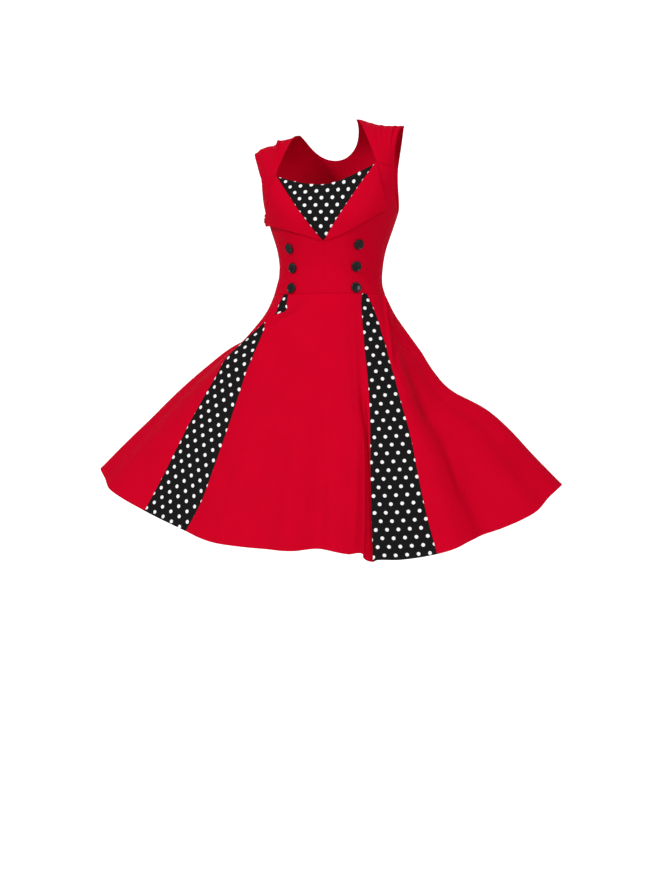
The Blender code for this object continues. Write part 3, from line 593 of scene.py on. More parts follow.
def faces_of_cloth(points, sewn, hem, wall):
    """Outer and inner points of a wall of cloth.

    sewn gives for the first, second, low and top edge, as one share or one for each point along it,
    where it is sewn to its neighbour: it sinks in there, with its allowance behind. Elsewhere the
    edge is rounded off."""
    outer, inner = np.zeros(points.shape[:-1]), np.zeros(points.shape[:-1]) - wall
    for (edge, distance), share in zip(from_edges(points).items(), sewn):
        share = np.asarray(share, float)
        share = share[:, None] if share.ndim and edge in ("first", "second") else share
        sink = share * SEAM_DEPTH * np.exp(-(distance / SEAM_SOFT) ** 2)
        behind = share * ALLOWANCE_BULK * ease((ALLOWANCE - distance) / ALLOWANCE_SOFT)
        outer, inner = outer - sink, inner - sink - behind
        if hem and edge == "low":
            bulk = HEM_BULK * ease((HEM_TURN - distance) / HEM_SOFT)
            drawn = STITCH_DEPTH * np.exp(-((distance - HEM_STITCH) / STITCH_WIDTH) ** 2)
            outer = outer + (1 - HEM_INWARD) * bulk - drawn
            inner = inner - HEM_INWARD * bulk
        thick = outer - inner
        rounding = (1 - share) * (1 - np.sqrt(1 - (1 - np.minimum(2 * distance / thick, 1)) ** 2))
        outer, inner = outer - EDGE_ROUND * thick * rounding, inner + EDGE_ROUND * thick * rounding
    normals = normals_of(points)
    return points + outer[..., None] * normals, points + inner[..., None] * normals


def flat_cut(points, wedge=False):
    """Where each point lies on the flat cloth, in metres, with the grain along the middle."""
    middle = points.shape[1] // 2
    across = run(points, 1)
    up = run(points, 0)[:, middle]
    width, beside = across[:, -1], across - across[:, middle:middle + 1]
    if not wedge:
        return np.stack((beside, np.repeat(up[:, None], points.shape[1], axis=1)), axis=-1)
    apex = up[-1] * width[0] / (width[0] - width[-1])
    radius = (apex - up)[:, None]
    return np.stack((radius * np.sin(beside / radius), apex - radius * np.cos(beside / radius)), axis=-1)


def on_grain(flat, godet):
    """The flat cut of a godet with its drifting grain pulled straight and its rows level."""
    aside, up = flat[..., 0], flat[..., 1]
    grain = along(GRAIN[godet], "up", np.clip(1000 * up, 0, 600))
    return np.stack((aside - 0.001 * grain["drift"], up + grain["slant"] * aside), axis=-1)


def linked(name, data):
    """An object of this mesh or curve in the scene."""
    made = bpy.data.objects.new(name, data)
    bpy.context.scene.collection.objects.link(made)
    return made


def cloth_wall(name, outer, inner, flat, material):
    """A closed wall of cloth between two sheets of points, with its flat cut as UV map."""
    rows, columns = outer.shape[0] - 1, outer.shape[1] - 1
    slab = bmesh.new()
    bmesh.ops.create_grid(slab, x_segments=columns, y_segments=rows, size=0.5)
    inside = bmesh.ops.extrude_face_region(slab, geom=slab.faces[:])["geom"]
    corners = [item for item in inside if isinstance(item, bmesh.types.BMVert)]
    bmesh.ops.translate(slab, verts=corners, vec=(0, 0, -1))
    bmesh.ops.recalc_face_normals(slab, faces=slab.faces[:])
    mesh = bpy.data.meshes.new(name)
    slab.to_mesh(mesh)
    slab.free()
    place = np.empty(3 * len(mesh.vertices))
    mesh.vertices.foreach_get("co", place)
    x, y, z = place.reshape(-1, 3).T
    column = np.rint((x + 0.5) * columns).astype(int)
    row = np.rint((y + 0.5) * rows).astype(int)
    depth = -z[:, None]
    carried = outer[row, column] * (1 - depth) + inner[row, column] * depth
    mesh.vertices.foreach_set("co", carried.ravel())
    corner_of = np.empty(len(mesh.loops), int)
    mesh.loops.foreach_get("vertex_index", corner_of)
    mesh.uv_layers.new(name="flat").data.foreach_set("uv", flat[row, column][corner_of].ravel())
    mesh.shade_smooth()
    mesh.materials.append(material)
    mesh.update()
    return linked(name, mesh)


def sheet_between(surface, first, second, levels, columns, rise=None, lift=None, fall=None,
                  creases=(), pull=0.88):
    """A sheet between two edges, each a turn for every level.

    rise(turn, level) moves it up, lift(turn, level) moves it off the surface, and fall(across,
    level) lowers its rows."""
    across, level = closer_to_ends(columns, pull)[None, :], levels[:, None]
    level = level - (fall(across, level) if fall else np.zeros_like(across))
    turn = mix(first(level), second(level), across)
    points = surface(turn, level)
    if rise:
        points[..., 2] += rise(turn, level)
    if lift:
        points = points + lift(turn, level)[..., None] * normals_of(points)
    return creased(points, surface, creases)


def area_of(points):
    """Area of a sheet."""
    across, up = np.diff(points, axis=1)[:-1], np.diff(points, axis=0)[:, :-1]
    return float(np.linalg.norm(np.cross(across, up), axis=-1).sum())


def riding(made, slot, *nodes, body="dress"):
    """A piece on a body that stands for these solids, which are hidden."""
    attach(made, body)
    if nodes:
        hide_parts(*nodes)


def piece_of_cloth(name, node, points, sewn, material, flat=None, hem=False, wall=CLOTH,
                   slot="red_cloth", pointed=False):
    """A wall of cloth on a sheet, in place of its solid. Gives the points of its outer face.

    Its flat cut is measured as long as the sheet, and about a triangle if it is pointed."""
    outer, inner = faces_of_cloth(points, sewn, hem, wall)
    made = cloth_wall(name, outer, inner, flat_cut(points) if flat is None else flat, material)
    length, area = float(run(points, 0)[-1].max()), area_of(points)
    width = 2 * area / length if pointed else float(run(points, 1)[:, -1].max())
    riding(made, slot, node)
    return outer


# ---------------- bodice edges
def armhole(side, back):
    """Edge of the armhole as a turn for each level, and the side seam below it."""
    row = ARMHOLES[HANDS[side]]
    inner = math.radians(row["back" if back else "front"])
    tip = math.radians(180 - row["tip"] if back else row["tip"])
    power = row["back_power" if back else "front_power"]

    def edge(level):
        rise = np.clip(part(level, UNDERARM_LEVEL, ARMHOLE_MIDDLE_LEVEL), 0, 1)
        turn = mix(np.pi / 2, inner, (1 - (1 - rise) ** 2) ** ARMHOLE_ROUND)
        above = np.maximum(0, part(level, ARMHOLE_MIDDLE_LEVEL, SHOULDER_LEVEL))
        return side * (turn + (tip - inner) * above ** power)
    return edge


def fold_bow(side, level):
    """How far the edge of the V bows out of the straight line from its point to its corner."""
    rise = np.clip(part(level, V_LEVEL, CORNER_LEVEL), 0, 1)
    bow = np.where(np.asarray(side) > 0, FOLD_BOW["left"], FOLD_BOW["right"])
    return bow * np.sin(np.pi * rise) ** FOLD_BOW_POWER


def fold_line(side):
    """Edge of the V as a turn for each level: the centre seam below the V's point."""
    def edge(level):
        rise = np.maximum(0, part(level, V_LEVEL, CORNER_LEVEL))
        return side * turn_at(rise * CORNER_X + fold_bow(side, level), level)
    return edge


def strap_neck(side):
    """Neck edge of a strap."""
    def edge(level):
        rise = part(level, CORNER_LEVEL, SHOULDER_LEVEL)
        return side * turn_at(mix(CORNER_X, STRAP_INNER[HANDS[side]], rise), level)
    return edge


def back_neck(side):
    """Scooped back neckline, and the centre back seam below it."""
    def edge(level):
        rise = np.maximum(0, part(level, BACK_NECK_LEVEL, SHOULDER_LEVEL))
        x = STRAP_INNER[HANDS[side]] * np.sqrt(np.maximum(0, 1 - (1 - rise) ** 2))
        return side * np.abs(turn_at(x, level, back=True))
    return edge


def slack_of(side, back=False):
    """Rise of a slack strap off its surface, most at the shoulder seam, and of the back behind it."""
    neck, arm = back_neck(side) if back else strap_neck(side), armhole(side, back)

    def rise(turn, level):
        share = np.clip(part(turn, neck(level), arm(level)), 0, 1)
        grown = ease(part(level, SLACK_LEVEL[back], SHOULDER_LEVEL))
        return grown * along(STRAP_RISES, "share", share)[HANDS[side]]
    return rise


def corner_fall(side, far_level):
    """Fall of a piece's rows towards the arm, whole at the corner seam, none at the far level."""
    def fall(across, level):
        share = across if side > 0 else 1 - across
        return CORNER_FALL * share * ease(part(level, far_level, CORNER_LEVEL))
    return fall


def ordered(side, inner, outer):
    """The two edges of a piece in the order of rising turn."""
    return (inner, outer) if side > 0 else (outer, inner)


def below(levels, level, soft=0.004):
    """1 on the rows under a level and 0 on those above it."""
    return ease((level + soft - levels) / (2 * soft))


# ---------------- bodice pieces
def bodice_fronts(side, hand, red):
    """Front panel from the waist up to the corner seam, open along the V."""
    levels = rows_between((60, 0, V_LEVEL), (100, V_LEVEL, CORNER_LEVEL))
    edges = ordered(side, fold_line(side), armhole(side, back=False))
    points = sheet_between(bodice, *edges, levels, 80, fall=corner_fall(side, UNDERARM_LEVEL),
                           creases=BODICE_CREASES)
    seams = ordered(side, FRONT_SEWN * below(levels, V_LEVEL), below(levels, UNDERARM_LEVEL))
    piece_of_cloth(f"front_cloth_{hand}", f"bodice_front_{hand}", points, (*seams, WAIST_SEWN, 1), red)


def straps(side, hand, red):
    """Gathered strap from the corner seam to the shoulder seam."""
    levels = rows_between((90, CORNER_LEVEL, SHOULDER_LEVEL))
    neck, arm = strap_neck(side), armhole(side, back=False)

    def gathered(turn, level):
        return gathers(hand, part(turn, neck(level), arm(level)), level)
    points = sheet_between(bodice, *ordered(side, neck, arm), levels, 120, slack_of(side), gathered,
                           corner_fall(side, SHOULDER_LEVEL), pull=0.75)
    piece_of_cloth(f"strap_cloth_{hand}", f"shoulder_strap_{hand}", points, (0, 0, 1, 1), red)


def gathers(hand, share, level):
    """Height of a strap's gathers above it."""
    out = 0.0
    for fold in GATHERS[hand]:
        down = part(level, SHOULDER_LEVEL, fold["level"])
        middle = mix(fold["at_seam"], fold["at_end"], down)
        half = fold["half_width"] * (1 + GATHER_SPREAD * down)
        fade = ease(GATHER_HOLD * (1 - down))
        out = out + 0.001 * fold["height"] * fade * bell(share - middle, half)
    return out * ease((SHOULDER_LEVEL - level) / GATHER_FLAT)


def bodice_backs(side, hand, red):
    """Back panel from the waist to the shoulder seam."""
    levels = rows_between((50, 0, UNDERARM_LEVEL), (40, UNDERARM_LEVEL, BACK_NECK_LEVEL),
                          (60, BACK_NECK_LEVEL, SHOULDER_LEVEL))
    edges = ordered(side, armhole(side, back=True), back_neck(side))
    points = sheet_between(bodice, *edges, levels, 80, slack_of(side, back=True))
    seams = ordered(side, below(levels, UNDERARM_LEVEL), below(levels, BACK_NECK_LEVEL))
    piece_of_cloth(f"back_cloth_{hand}", f"bodice_back_{hand}", points, (*seams, WAIST_SEWN, 1), red)


def neck_insert(dotted):
    """Dotted V insert behind the two folds, its top edge dipping between the corners."""
    columns = 90
    low = V_LEVEL - INSERT_TUCK
    sideways = np.linspace(-1, 1, columns + 1)[None, :]
    up = closer_to_ends(80, 0.8)[:, None]
    dip = NECK_DIP * (1 - np.abs(sideways) ** NECK_DIP_POWER) * (1 + NECK_DIP_LEAN * sideways)
    top = CORNER_LEVEL - dip
    level = mix(low, top, up)
    half = mix(INSERT_TUCK, CORNER_X + INSERT_TUCK_TOP, up) + fold_bow(sideways, level)
    points = bodice(turn_at(sideways * half, level), level)
    behind = INSERT_BEHIND + INSERT_SINK * up ** 2 * (1 - sideways ** 2)
    points = points - behind[..., None] * normals_of(points)
    beside = run(points, 1)
    flat = np.stack((beside - beside[:, columns // 2, None], level), axis=-1)
    piece_of_cloth("insert_cloth", "neck_insert", points, (0, 0, 0, 0), dotted, flat,
                   slot="dotted_cloth", pointed=True)


def lapels(side, hand, red):
    """Lapel rolled over the edge of the front and turned back, lifting off towards its tip."""
    row = LAPELS[hand]
    up = closer_to_ends(80)[:, None]
    fold_level = mix(V_LEVEL + LAPEL_POINT[1], CORNER_LEVEL, up)
    fold_x = mix(LAPEL_POINT[0], CORNER_X, up) + fold_bow(side, fold_level)
    angle = np.radians(mix(row["arc_low"], row["arc_high"], up))
    tip_x = row["x"] + row["radius"] * np.cos(angle)
    tip_level = row["level"] + row["radius"] * np.sin(angle)

    def on_bodice(across):
        bow = row["bow"] * 4 * across * (1 - across) * (1 - up) ** 2
        level = mix(fold_level, tip_level, across) - bow
        return bodice(side * turn_at(mix(fold_x, tip_x, across), level), level)
    step = 0.02
    nearest = on_bodice(np.array([[0, step]]))
    edge, way = nearest[:, 0], nearest[:, 1] - nearest[:, 0]
    begin = (ROLL_OUT - ROLL_PAST) * step / np.linalg.norm(way, axis=-1)[:, None]
    across = begin + (1 - begin) * closer_to_ends(80)[None, :]
    face = on_bodice(across)
    out = side * normals_of(face)
    face = face + (LAPEL_FACE + LAPEL_LIFT * across ** 2)[..., None] * out

    way, out = unit(way), out[:, 0]
    turned = np.linspace(np.pi, 0, 15)[:-1]
    behind = np.linspace(ROLL_BEHIND, 0, 5)[:-1]
    aside = ROLL_OUT - ROLL_PAST + np.concatenate((behind, -ROLL_OUT * np.sin(turned)))
    off = LAPEL_FACE * np.concatenate((np.full(len(behind), -1), np.cos(turned)))
    roll = edge[:, None] + aside[:, None] * way[:, None] + off[:, None] * out[:, None]
    points = np.concatenate((roll, face), axis=1)
    thicker = ease(LAPEL_THICKENS * np.linspace(0, 1, 81))
    wall = np.concatenate((np.full_like(off, CLOTH), mix(CLOTH, LAPEL_CLOTH, thicker)))[None, :]
    if side < 0:
        points, wall = points[:, ::-1], wall[:, ::-1]
    piece_of_cloth(f"lapel_cloth_{hand}", f"lapel_{hand}", points, (0, 0, 0, 0), red, wall=wall,
                   pointed=True)


# ---------------- skirt pieces
def seam(column):
    """A skirt seam as a turn for each level."""
    return lambda level: np.radians(along(SEAMS, "level", level)[column])


def centre_back(side):
    """The centre back seam."""
    return lambda level: np.full_like(level, side * np.pi)


def lip_edge(level):
    """Seam of the front panel with the right godet, and the fold of the panel over the godet."""
    lip = math.radians(LIP_TURN) * bell(level - LIP_LEVEL, LIP_SPREAD)
    return seam("right_inner")(level) - lip


def lip_lift(turn, level):
    """How far that fold lies off the skirt."""
    beside = np.degrees(turn - lip_edge(level))
    return LIP_LIFT * bell(level - LIP_LEVEL, LIP_SPREAD) * (1 - ease(beside / (3 * LIP_TURN)))


def skirt_pieces(red, dotted):
    """The seven panels of the skirt, and the lines of their hems in red and in dotted cloth."""
    edges = {name: seam(name) for name in SEAMS}
    edges.update(fold=lip_edge, back_right=centre_back(-1), back_left=centre_back(1))
    levels = closer_to_ends(150, 0.9) - 1
    free_under_lip = 1 - bell(levels - LIP_LEVEL, LIP_SPREAD)
    hems = {"red_cloth": [], "dotted_cloth": []}
    for row in SKIRT_PANELS:
        node, front = row["node"], row["first"] == "fold"
        godet = node in dotted
        points = sheet_between(skirt, edges[row["first"]], edges[row["second"]], levels, row["columns"],
                               lift=lip_lift if front else None, creases=SKIRT_CREASES, pull=0.85)
        flat = on_grain(flat_cut(points, wedge=True), node) if godet else None
        slot = "dotted_cloth" if godet else "red_cloth"
        sewn = (free_under_lip if front else 1, 1, 0, WAIST_SEWN)
        outer = piece_of_cloth(row["name"], node, points, sewn, dotted[node] if godet else red, flat,
                               hem=True, slot=slot, pointed=godet)
        hems[slot].append(hem_line(outer))
    return hems


# ---------------- thread
def hem_line(outer):
    """Points and outward directions along a panel's line of hem stitches."""
    up = run(outer, 0)
    normals = normals_of(outer)
    line = np.array([[np.interp(HEM_STITCH, up[:, column], sheet[:, column, axis]) for axis in range(3)]
                     for sheet in (outer, normals) for column in range(outer.shape[1])])
    return line[:outer.shape[1]], line[outer.shape[1]:]


def stitches(lines):
    """Strands of thread, one for each stitch, along lines of points with outward directions."""
    strands = []
    share = np.linspace(0, 1, 5)
    for points, outward in lines:
        length = np.concatenate(([0], np.cumsum(np.linalg.norm(np.diff(points, axis=0), axis=-1))))
        for begin in np.arange(STITCH_PITCH / 2, length[-1] - STITCH, STITCH_PITCH):
            at = begin + STITCH * share
            place, out = [np.stack([np.interp(at, length, values[:, axis]) for axis in range(3)], -1)
                          for values in (points, outward)]
            arch = STITCH_ARCH * np.sin(np.pi * share)[:, None] - STITCH_SUNK
            strands.append(place + THREAD_RADIUS * arch * out)
    return strands


def thread(name, strands, radius, material, slot):
    """Thin tubes along strands of points, as one piece."""
    curve = bpy.data.curves.new(name, "CURVE")
    curve.dimensions = "3D"
    curve.bevel_depth = radius
    curve.bevel_resolution = 0
    curve.use_fill_caps = True
    for strand in strands:
        spline = curve.splines.new("POLY")
        spline.points.add(len(strand) - 1)
        spline.points.foreach_set("co", np.column_stack((strand, np.ones(len(strand)))).ravel())
    curve.materials.append(material)
    riding(linked(name, curve), slot)


# ---------------- buttons
def seat_on(turn, level, gap):
    """Placement on the bodice with local Z out of the cloth and local Y up it."""
    step = 0.001
    here = Vector(bodice(turn, level))
    round_body = Vector(bodice(turn + step, level) - bodice(turn - step, level))
    up_cloth = Vector(bodice(turn, level + step) - bodice(turn, level - step))
    out = round_body.cross(up_cloth).normalized()
    right = Vector((0, 0, 1)).cross(out).normalized()
    turned = Matrix((right, out.cross(right), out)).transposed().to_4x4()
    return Matrix.Translation(here + gap * out) @ turned


def hole_places():
    """Middles of a button's sewing holes."""
    angles = [math.pi / 4 + i * 2 * math.pi / BUTTON_HOLES for i in range(BUTTON_HOLES)]
    return [BUTTON_HOLE_SPREAD * Vector((math.cos(angle), math.sin(angle), 0)) for angle in angles]


def button_mesh():
    """A dished button with a rounded rim and four sewing holes with soft edges."""
    turned = bmesh.new()
    corners = [turned.verts.new((BUTTON_RADIUS * row["radius"], 0, BUTTON_THICK * row["height"]))
               for row in BUTTON_PROFILE]
    edges = [turned.edges.new(pair) for pair in zip(corners, corners[1:])]
    bmesh.ops.spin(turned, geom=corners + edges, cent=(0, 0, 0), axis=(0, 0, 1),
                   angle=2 * math.pi, steps=56, use_merge=True)
    bmesh.ops.remove_doubles(turned, verts=turned.verts[:], dist=1e-6)
    bmesh.ops.recalc_face_normals(turned, faces=turned.faces[:])
    holes = bmesh.new()
    for at in hole_places():
        bmesh.ops.create_cone(holes, cap_ends=True, segments=16, radius1=BUTTON_HOLE_RADIUS,
                              radius2=BUTTON_HOLE_RADIUS, depth=4 * BUTTON_THICK,
                              matrix=Matrix.Translation(at))
    return made_of("button", [("BASE", turned), ("DIFFERENCE", holes)], BUTTON_SOFT)


def made_of(name, parts, width):
    """A mesh of one part with others joined to it or cut out of it, its sharp edges rounded off."""
    items = []
    for operation, shape in parts:
        items.append(linked(name, bpy.data.meshes.new(name)))
        shape.to_mesh(items[-1].data)
        shape.free()
        if operation != "BASE":
            cut = items[0].modifiers.new(operation.lower(), "BOOLEAN")
            cut.operation = operation
            cut.object = items[-1]
    bevel = items[0].modifiers.new("soft_edges", "BEVEL")
    for key, value in dict(affect="EDGES", width=width, segments=2, profile=0.5, material=-1,
                           limit_method="ANGLE", angle_limit=math.radians(35)).items():
        setattr(bevel, key, value)
    depsgraph = bpy.context.evaluated_depsgraph_get()
    mesh = bpy.data.meshes.new_from_object(items[0].evaluated_get(depsgraph))
    for item in items:
        bpy.data.objects.remove(item)
    mesh.shade_smooth()
    return mesh


def buttons(plastic, black_thread):
    """Three buttons on each front, each sewn on with two bars of thread."""
    mesh = button_mesh()
    strands = []
    holes = hole_places()
    for row in BUTTONS:
        side = 1 if row["hand"] == "left" else -1
        seat = seat_on(side * turn_at(row["x"], row["level"]), row["level"], BUTTON_SEAT)
        data = mesh.copy()
        data.transform(seat)
        data.materials.append(plastic)
        node = f"button_{row['hand']}_{row['row']}"
        riding(linked(f"{node}_sewn", data), "black_button", node)
        for first, second in ((holes[0], holes[1]), (holes[3], holes[2])):
            strands.append([seat @ place for place in bar_of_thread(first, second)])
    bpy.data.meshes.remove(mesh)
    strands = [np.array(strand) for strand in strands]
    thread("button_thread", strands, BUTTON_THREAD, black_thread, "black_button")


def bar_of_thread(first, second):
    """Thread from the cloth up through one hole, over the button and down through the next."""
    low, face = -1.4 * BUTTON_SEAT, 0.62 * BUTTON_THICK
    over = face + BUTTON_THREAD
    return [first.lerp(second, share) + Vector((0, 0, height)) for share, height in (
        (0, low), (0, face), (0.25, over), (0.75, over), (1, face), (1, low))]


# ---------------- zip
def outline(points, way):
    """A bmesh of a flat outline of points, extruded one way."""
    made = bmesh.new()
    face = made.faces.new([made.verts.new(point) for point in points])
    walls = bmesh.ops.extrude_face_region(made, geom=[face])["geom"]
    far = [item for item in walls if isinstance(item, bmesh.types.BMVert)]
    bmesh.ops.translate(made, verts=far, vec=way)
    bmesh.ops.recalc_face_normals(made, faces=made.faces[:])
    return made


def half_round(radius, middle, count, low=False):
    """Points of a half circle about a middle, over it or under it, from one side to the other."""
    angles = [math.pi * i / count for i in range(count + 1)]
    sign = -1 if low else 1
    return [(middle[0] + sign * radius * math.cos(angle), middle[1] + sign * radius * math.sin(angle))
            for angle in angles]


def rod(radius, length, centre):
    """A bmesh rod along X."""
    made = bmesh.new()
    lying = Matrix.Translation(centre) @ Matrix.Rotation(math.pi / 2, 4, "Y")
    bmesh.ops.create_cone(made, cap_ends=True, segments=32, radius1=radius, radius2=radius,
                          depth=length, matrix=lying)
    return made


def metal_piece(name, parts, metal, placed, node, body):
    """A piece of the zip in its place, on its body, with soft edges."""
    mesh = made_of(name, parts, METAL_SOFT)
    mesh.transform(placed)
    mesh.materials.append(metal)
    riding(linked(name, mesh), "zip_metal", node, body=body)


def zip_fastener(metal):
    """Slider at the top of the centre back seam, and its pull tab on a pin between two lugs."""
    width, height, thick = ZIP_PLATE
    seat = seat_on(np.pi, BACK_NECK_LEVEL - ZIP_SLIDER_BELOW_NECK, ZIP_SEAT)
    pin = Vector((0, 0, thick + ZIP_PIN_OUT))
    shoulder, waist = 0.5 * width, 0.36 * width
    plate = outline([(-waist, -height / 2, 0), (waist, -height / 2, 0), (shoulder, -height / 5, 0),
                     (shoulder, height / 2, 0), (-shoulder, height / 2, 0),
                     (-shoulder, -height / 5, 0)], (0, 0, thick))
    parts = [("BASE", plate)]
    for side in (-1, 1):
        near = side * (ZIP_LUG_GAP + ZIP_LUG) / 2 - ZIP_LUG / 2
        rim = half_round(ZIP_LUG_RADIUS, (0, pin.z), 20) + [
            (-ZIP_LUG_RADIUS, thick / 2), (ZIP_LUG_RADIUS, thick / 2)]
        parts.append(("UNION", outline([(near, y, z) for y, z in rim], (ZIP_LUG, 0, 0))))
    parts.append(("UNION", rod(ZIP_PIN_RADIUS, ZIP_LUG_GAP + 2 * ZIP_LUG + ZIP_PIN_HEAD, pin)))
    metal_piece("zip_slider_metal", parts, metal, seat, "zip_slider", "dress")

    wide, neck = PULL_WIDTH / 2, PULL_NECK / 2
    foot = half_round(wide, (0, wide - PULL_LENGTH), 24, low=True)
    shoulder = -PULL_EYE_RADIUS - neck
    tab = outline([(x, -PULL_THICK / 2, z) for x, z in
                   foot + [(neck, shoulder), (neck, 0), (-neck, 0), (-neck, shoulder)]],
                  (0, PULL_THICK, 0))
    parts = [("BASE", tab), ("UNION", rod(PULL_EYE_RADIUS, PULL_NECK - PULL_EYE_CHAMFER, Vector())),
             ("DIFFERENCE", rod(PULL_EYE_HOLE, 3 * PULL_NECK, Vector()))]
    metal_piece("zip_pull_metal", parts, metal, Matrix.Translation(seat @ pin), "zip_pull", "zip_pull")


# ---------------- materials
def fill(tree, node, inputs):
    """Give a node its inputs: a value, a socket to link from, or a node for its first output."""
    for key, value in dict(inputs).items():
        if isinstance(value, bpy.types.Node):
            value = value.outputs[0]
        if isinstance(value, bpy.types.NodeSocket):
            tree.links.new(value, node.inputs[key])
        else:
            node.inputs[key].default_value = value
    return node


def add(tree, kind, inputs=(), **settings):
    """A shader node with its settings and its inputs."""
    made = tree.nodes.new(f"ShaderNode{kind}")
    for key, value in settings.items():
        setattr(made, key, value)
    return fill(tree, made, inputs)


def maths(tree, operation, *values):
    """A calculation with numbers."""
    return add(tree, "Math", dict(enumerate(values)), operation=operation)


def vectors(tree, operation, *values):
    """A calculation with vectors."""
    return add(tree, "VectorMath", dict(enumerate(values)), operation=operation)


def scaled(tree, vector, scale):
    """A vector or a colour times a number."""
    return add(tree, "VectorMath", {0: vector, "Scale": scale}, operation="SCALE")


def spread(tree, noise, low, high):
    """The usual range of a noise, spread from a low to a high value."""
    return add(tree, "MapRange", {"Value": noise, "From Min": 0.3, "From Max": 0.7,
                                  "To Min": low, "To Max": high})


def bump(tree, height, strength, distance, **under):
    """Small relief of the surface, over another one if Normal is given."""
    return add(tree, "Bump", {"Height": height, "Strength": strength, "Distance": distance, **under})


def group_of(name, inputs, outputs):
    """An empty shader node group with named sockets, and its input and output nodes."""
    tree = bpy.data.node_groups.new(name, "ShaderNodeTree")
    for way, sockets in (("INPUT", inputs), ("OUTPUT", outputs)):
        for socket, kind in sockets.items():
            tree.interface.new_socket(socket, in_out=way, socket_type=f"NodeSocket{kind}")
    return tree, tree.nodes.new("NodeGroupInput"), tree.nodes.new("NodeGroupOutput")


def polka_dots():
    """Mask of round dots in rows that are shifted by half: 1 on a dot."""
    tree, given, result = group_of("polka_dots", dict(Cloth="Vector", Cell="Vector", Shift="Vector",
                                                      Radius="Float"), dict(Dot="Float"))
    cell = given.outputs["Cell"]
    moved = vectors(tree, "SUBTRACT", given.outputs["Cloth"], given.outputs["Shift"])
    lengths = []
    for step in (0.5, 1.0):
        aside = vectors(tree, "ADD", vectors(tree, "DIVIDE", moved, cell), (step, step, 0))
        centred = vectors(tree, "SUBTRACT", vectors(tree, "FRACTION", aside), (0.5, 0.5, 0))
        away = vectors(tree, "LENGTH", vectors(tree, "MULTIPLY", centred, cell))
        lengths.append(away.outputs["Value"])
    rim = maths(tree, "SUBTRACT", given.outputs["Radius"], maths(tree, "MINIMUM", *lengths))
    mask = add(tree, "MapRange", {"Value": rim, "From Min": -DOT_SOFT, "From Max": DOT_SOFT}, clamp=True)
    fill(tree, result, {"Dot": mask})
    return tree


def weave():
    """Fine weave: its height, slow soft waves of the cloth, and a slight change of shade."""
    tree, given, result = group_of("weave", dict(Cloth="Vector", Threads="Float"),
                                   dict(Height="Float", Waves="Float", Shade="Float"))
    cloth = given.outputs["Cloth"]
    split = add(tree, "SeparateXYZ", {0: scaled(tree, cloth, given.outputs["Threads"])})
    ridges = [maths(tree, "ABSOLUTE", maths(tree, "SINE", split.outputs[axis])) for axis in "XY"]
    slubs = add(tree, "TexNoise", {"Vector": cloth, "Scale": 900})
    waves = add(tree, "TexNoise", {"Vector": cloth, "Scale": 26, "Detail": 2})
    cloudy = add(tree, "TexNoise", {"Vector": cloth, "Scale": 14, "Detail": 3})
    height = maths(tree, "MULTIPLY_ADD", slubs, 0.5, maths(tree, "MULTIPLY", *ridges))
    fill(tree, result, {"Height": height, "Waves": waves, "Shade": spread(tree, cloudy, 0.97, 1.03)})
    return tree


def principled(name, roughness, specular):
    """A new material, its node tree and its shader."""
    material = bpy.data.materials.new(name)
    material.use_nodes = True
    tree = material.node_tree
    return material, tree, fill(tree, tree.nodes["Principled BSDF"],
                                {"Roughness": roughness, "Specular IOR Level": specular})


def cloth_material(name, colour, groups, piece=None):
    """Woven cloth in one colour, with white dots if it is for a dotted piece."""
    material, tree, shader = principled(name, 0.62, 0.012)
    cloth = add(tree, "UVMap", uv_map="flat")
    woven = add(tree, "Group", node_tree=groups["weave"])
    fill(tree, woven, {"Cloth": cloth, "Threads": 2 * math.pi / WEAVE_PITCH})
    base = scaled(tree, colour, woven.outputs["Shade"])
    if piece:
        row = DOTS[piece]
        dots = add(tree, "Group", node_tree=groups["dots"])
        fill(tree, dots, {"Cloth": cloth, "Cell": (0.001 * row["spacing"], 0.002 * row["rows"], 1),
                          "Shift": (0.001 * row["aside"], 0.001 * row["up"], 0), "Radius": DOT_RADIUS})
        base = add(tree, "Mix", {"Factor": dots.outputs["Dot"], 6: base, 7: DOT_WHITE},
                   data_type="RGBA").outputs[2]
    soft = bump(tree, woven.outputs["Waves"], 0.6, 0.0012)
    fine = bump(tree, woven.outputs["Height"], 0.25, 0.0001, Normal=soft)
    fill(tree, shader, {"Base Color": base, "Normal": fine})
    return material


def thread_material(name, colour):
    """Twisted thread: fine slanting ridges in a slightly uneven colour."""
    material, tree, shader = principled(name, 0.5, 0.2)
    place = add(tree, "TexCoord").outputs["Object"]
    twist = add(tree, "TexWave", {"Vector": place, "Scale": 900, "Distortion": 2},
                bands_direction="DIAGONAL").outputs["Fac"]
    tint = add(tree, "MapRange", {"Value": twist, "To Min": 0.75, "To Max": 1.1})
    fill(tree, shader, {"Base Color": scaled(tree, colour, tint),
                        "Normal": bump(tree, twist, 0.4, 0.0001)})
    return material


def hard_material(name, colour, roughness, metallic, scuffs, specular=0.5):
    """Glossy plastic or metal, its gloss broken up by faint scuffs of this size in metres."""
    material, tree, shader = principled(name, roughness[0], specular)
    long = vectors(tree, "MULTIPLY", add(tree, "TexCoord").outputs["Object"], (1, 1, 0.15))
    cloudy = add(tree, "TexNoise", {"Vector": long, "Scale": 1 / scuffs, "Detail": 4})
    tint = spread(tree, cloudy, 0.85, 1.15)
    fill(tree, shader, {"Base Color": scaled(tree, colour, tint), "Metallic": metallic,
                        "Roughness": spread(tree, cloudy, *roughness),
                        "Normal": bump(tree, cloudy, 0.15, 0.00005)})
    return material


# ---------------- studio
LENS = 24 * 2093 / 870        # focal length for a sensor 24 high
CAMERA_TURN = math.radians(9)
CAMERA_AWAY = 4.5
CAMERA_PLACE = (-0.0097, -0.646)              # aside of the origin and above it
FLOOR = -1.56
BACK = 4                      # where the floor begins to rise into the backdrop
SWEEP = 1.5                   # radius of that rise


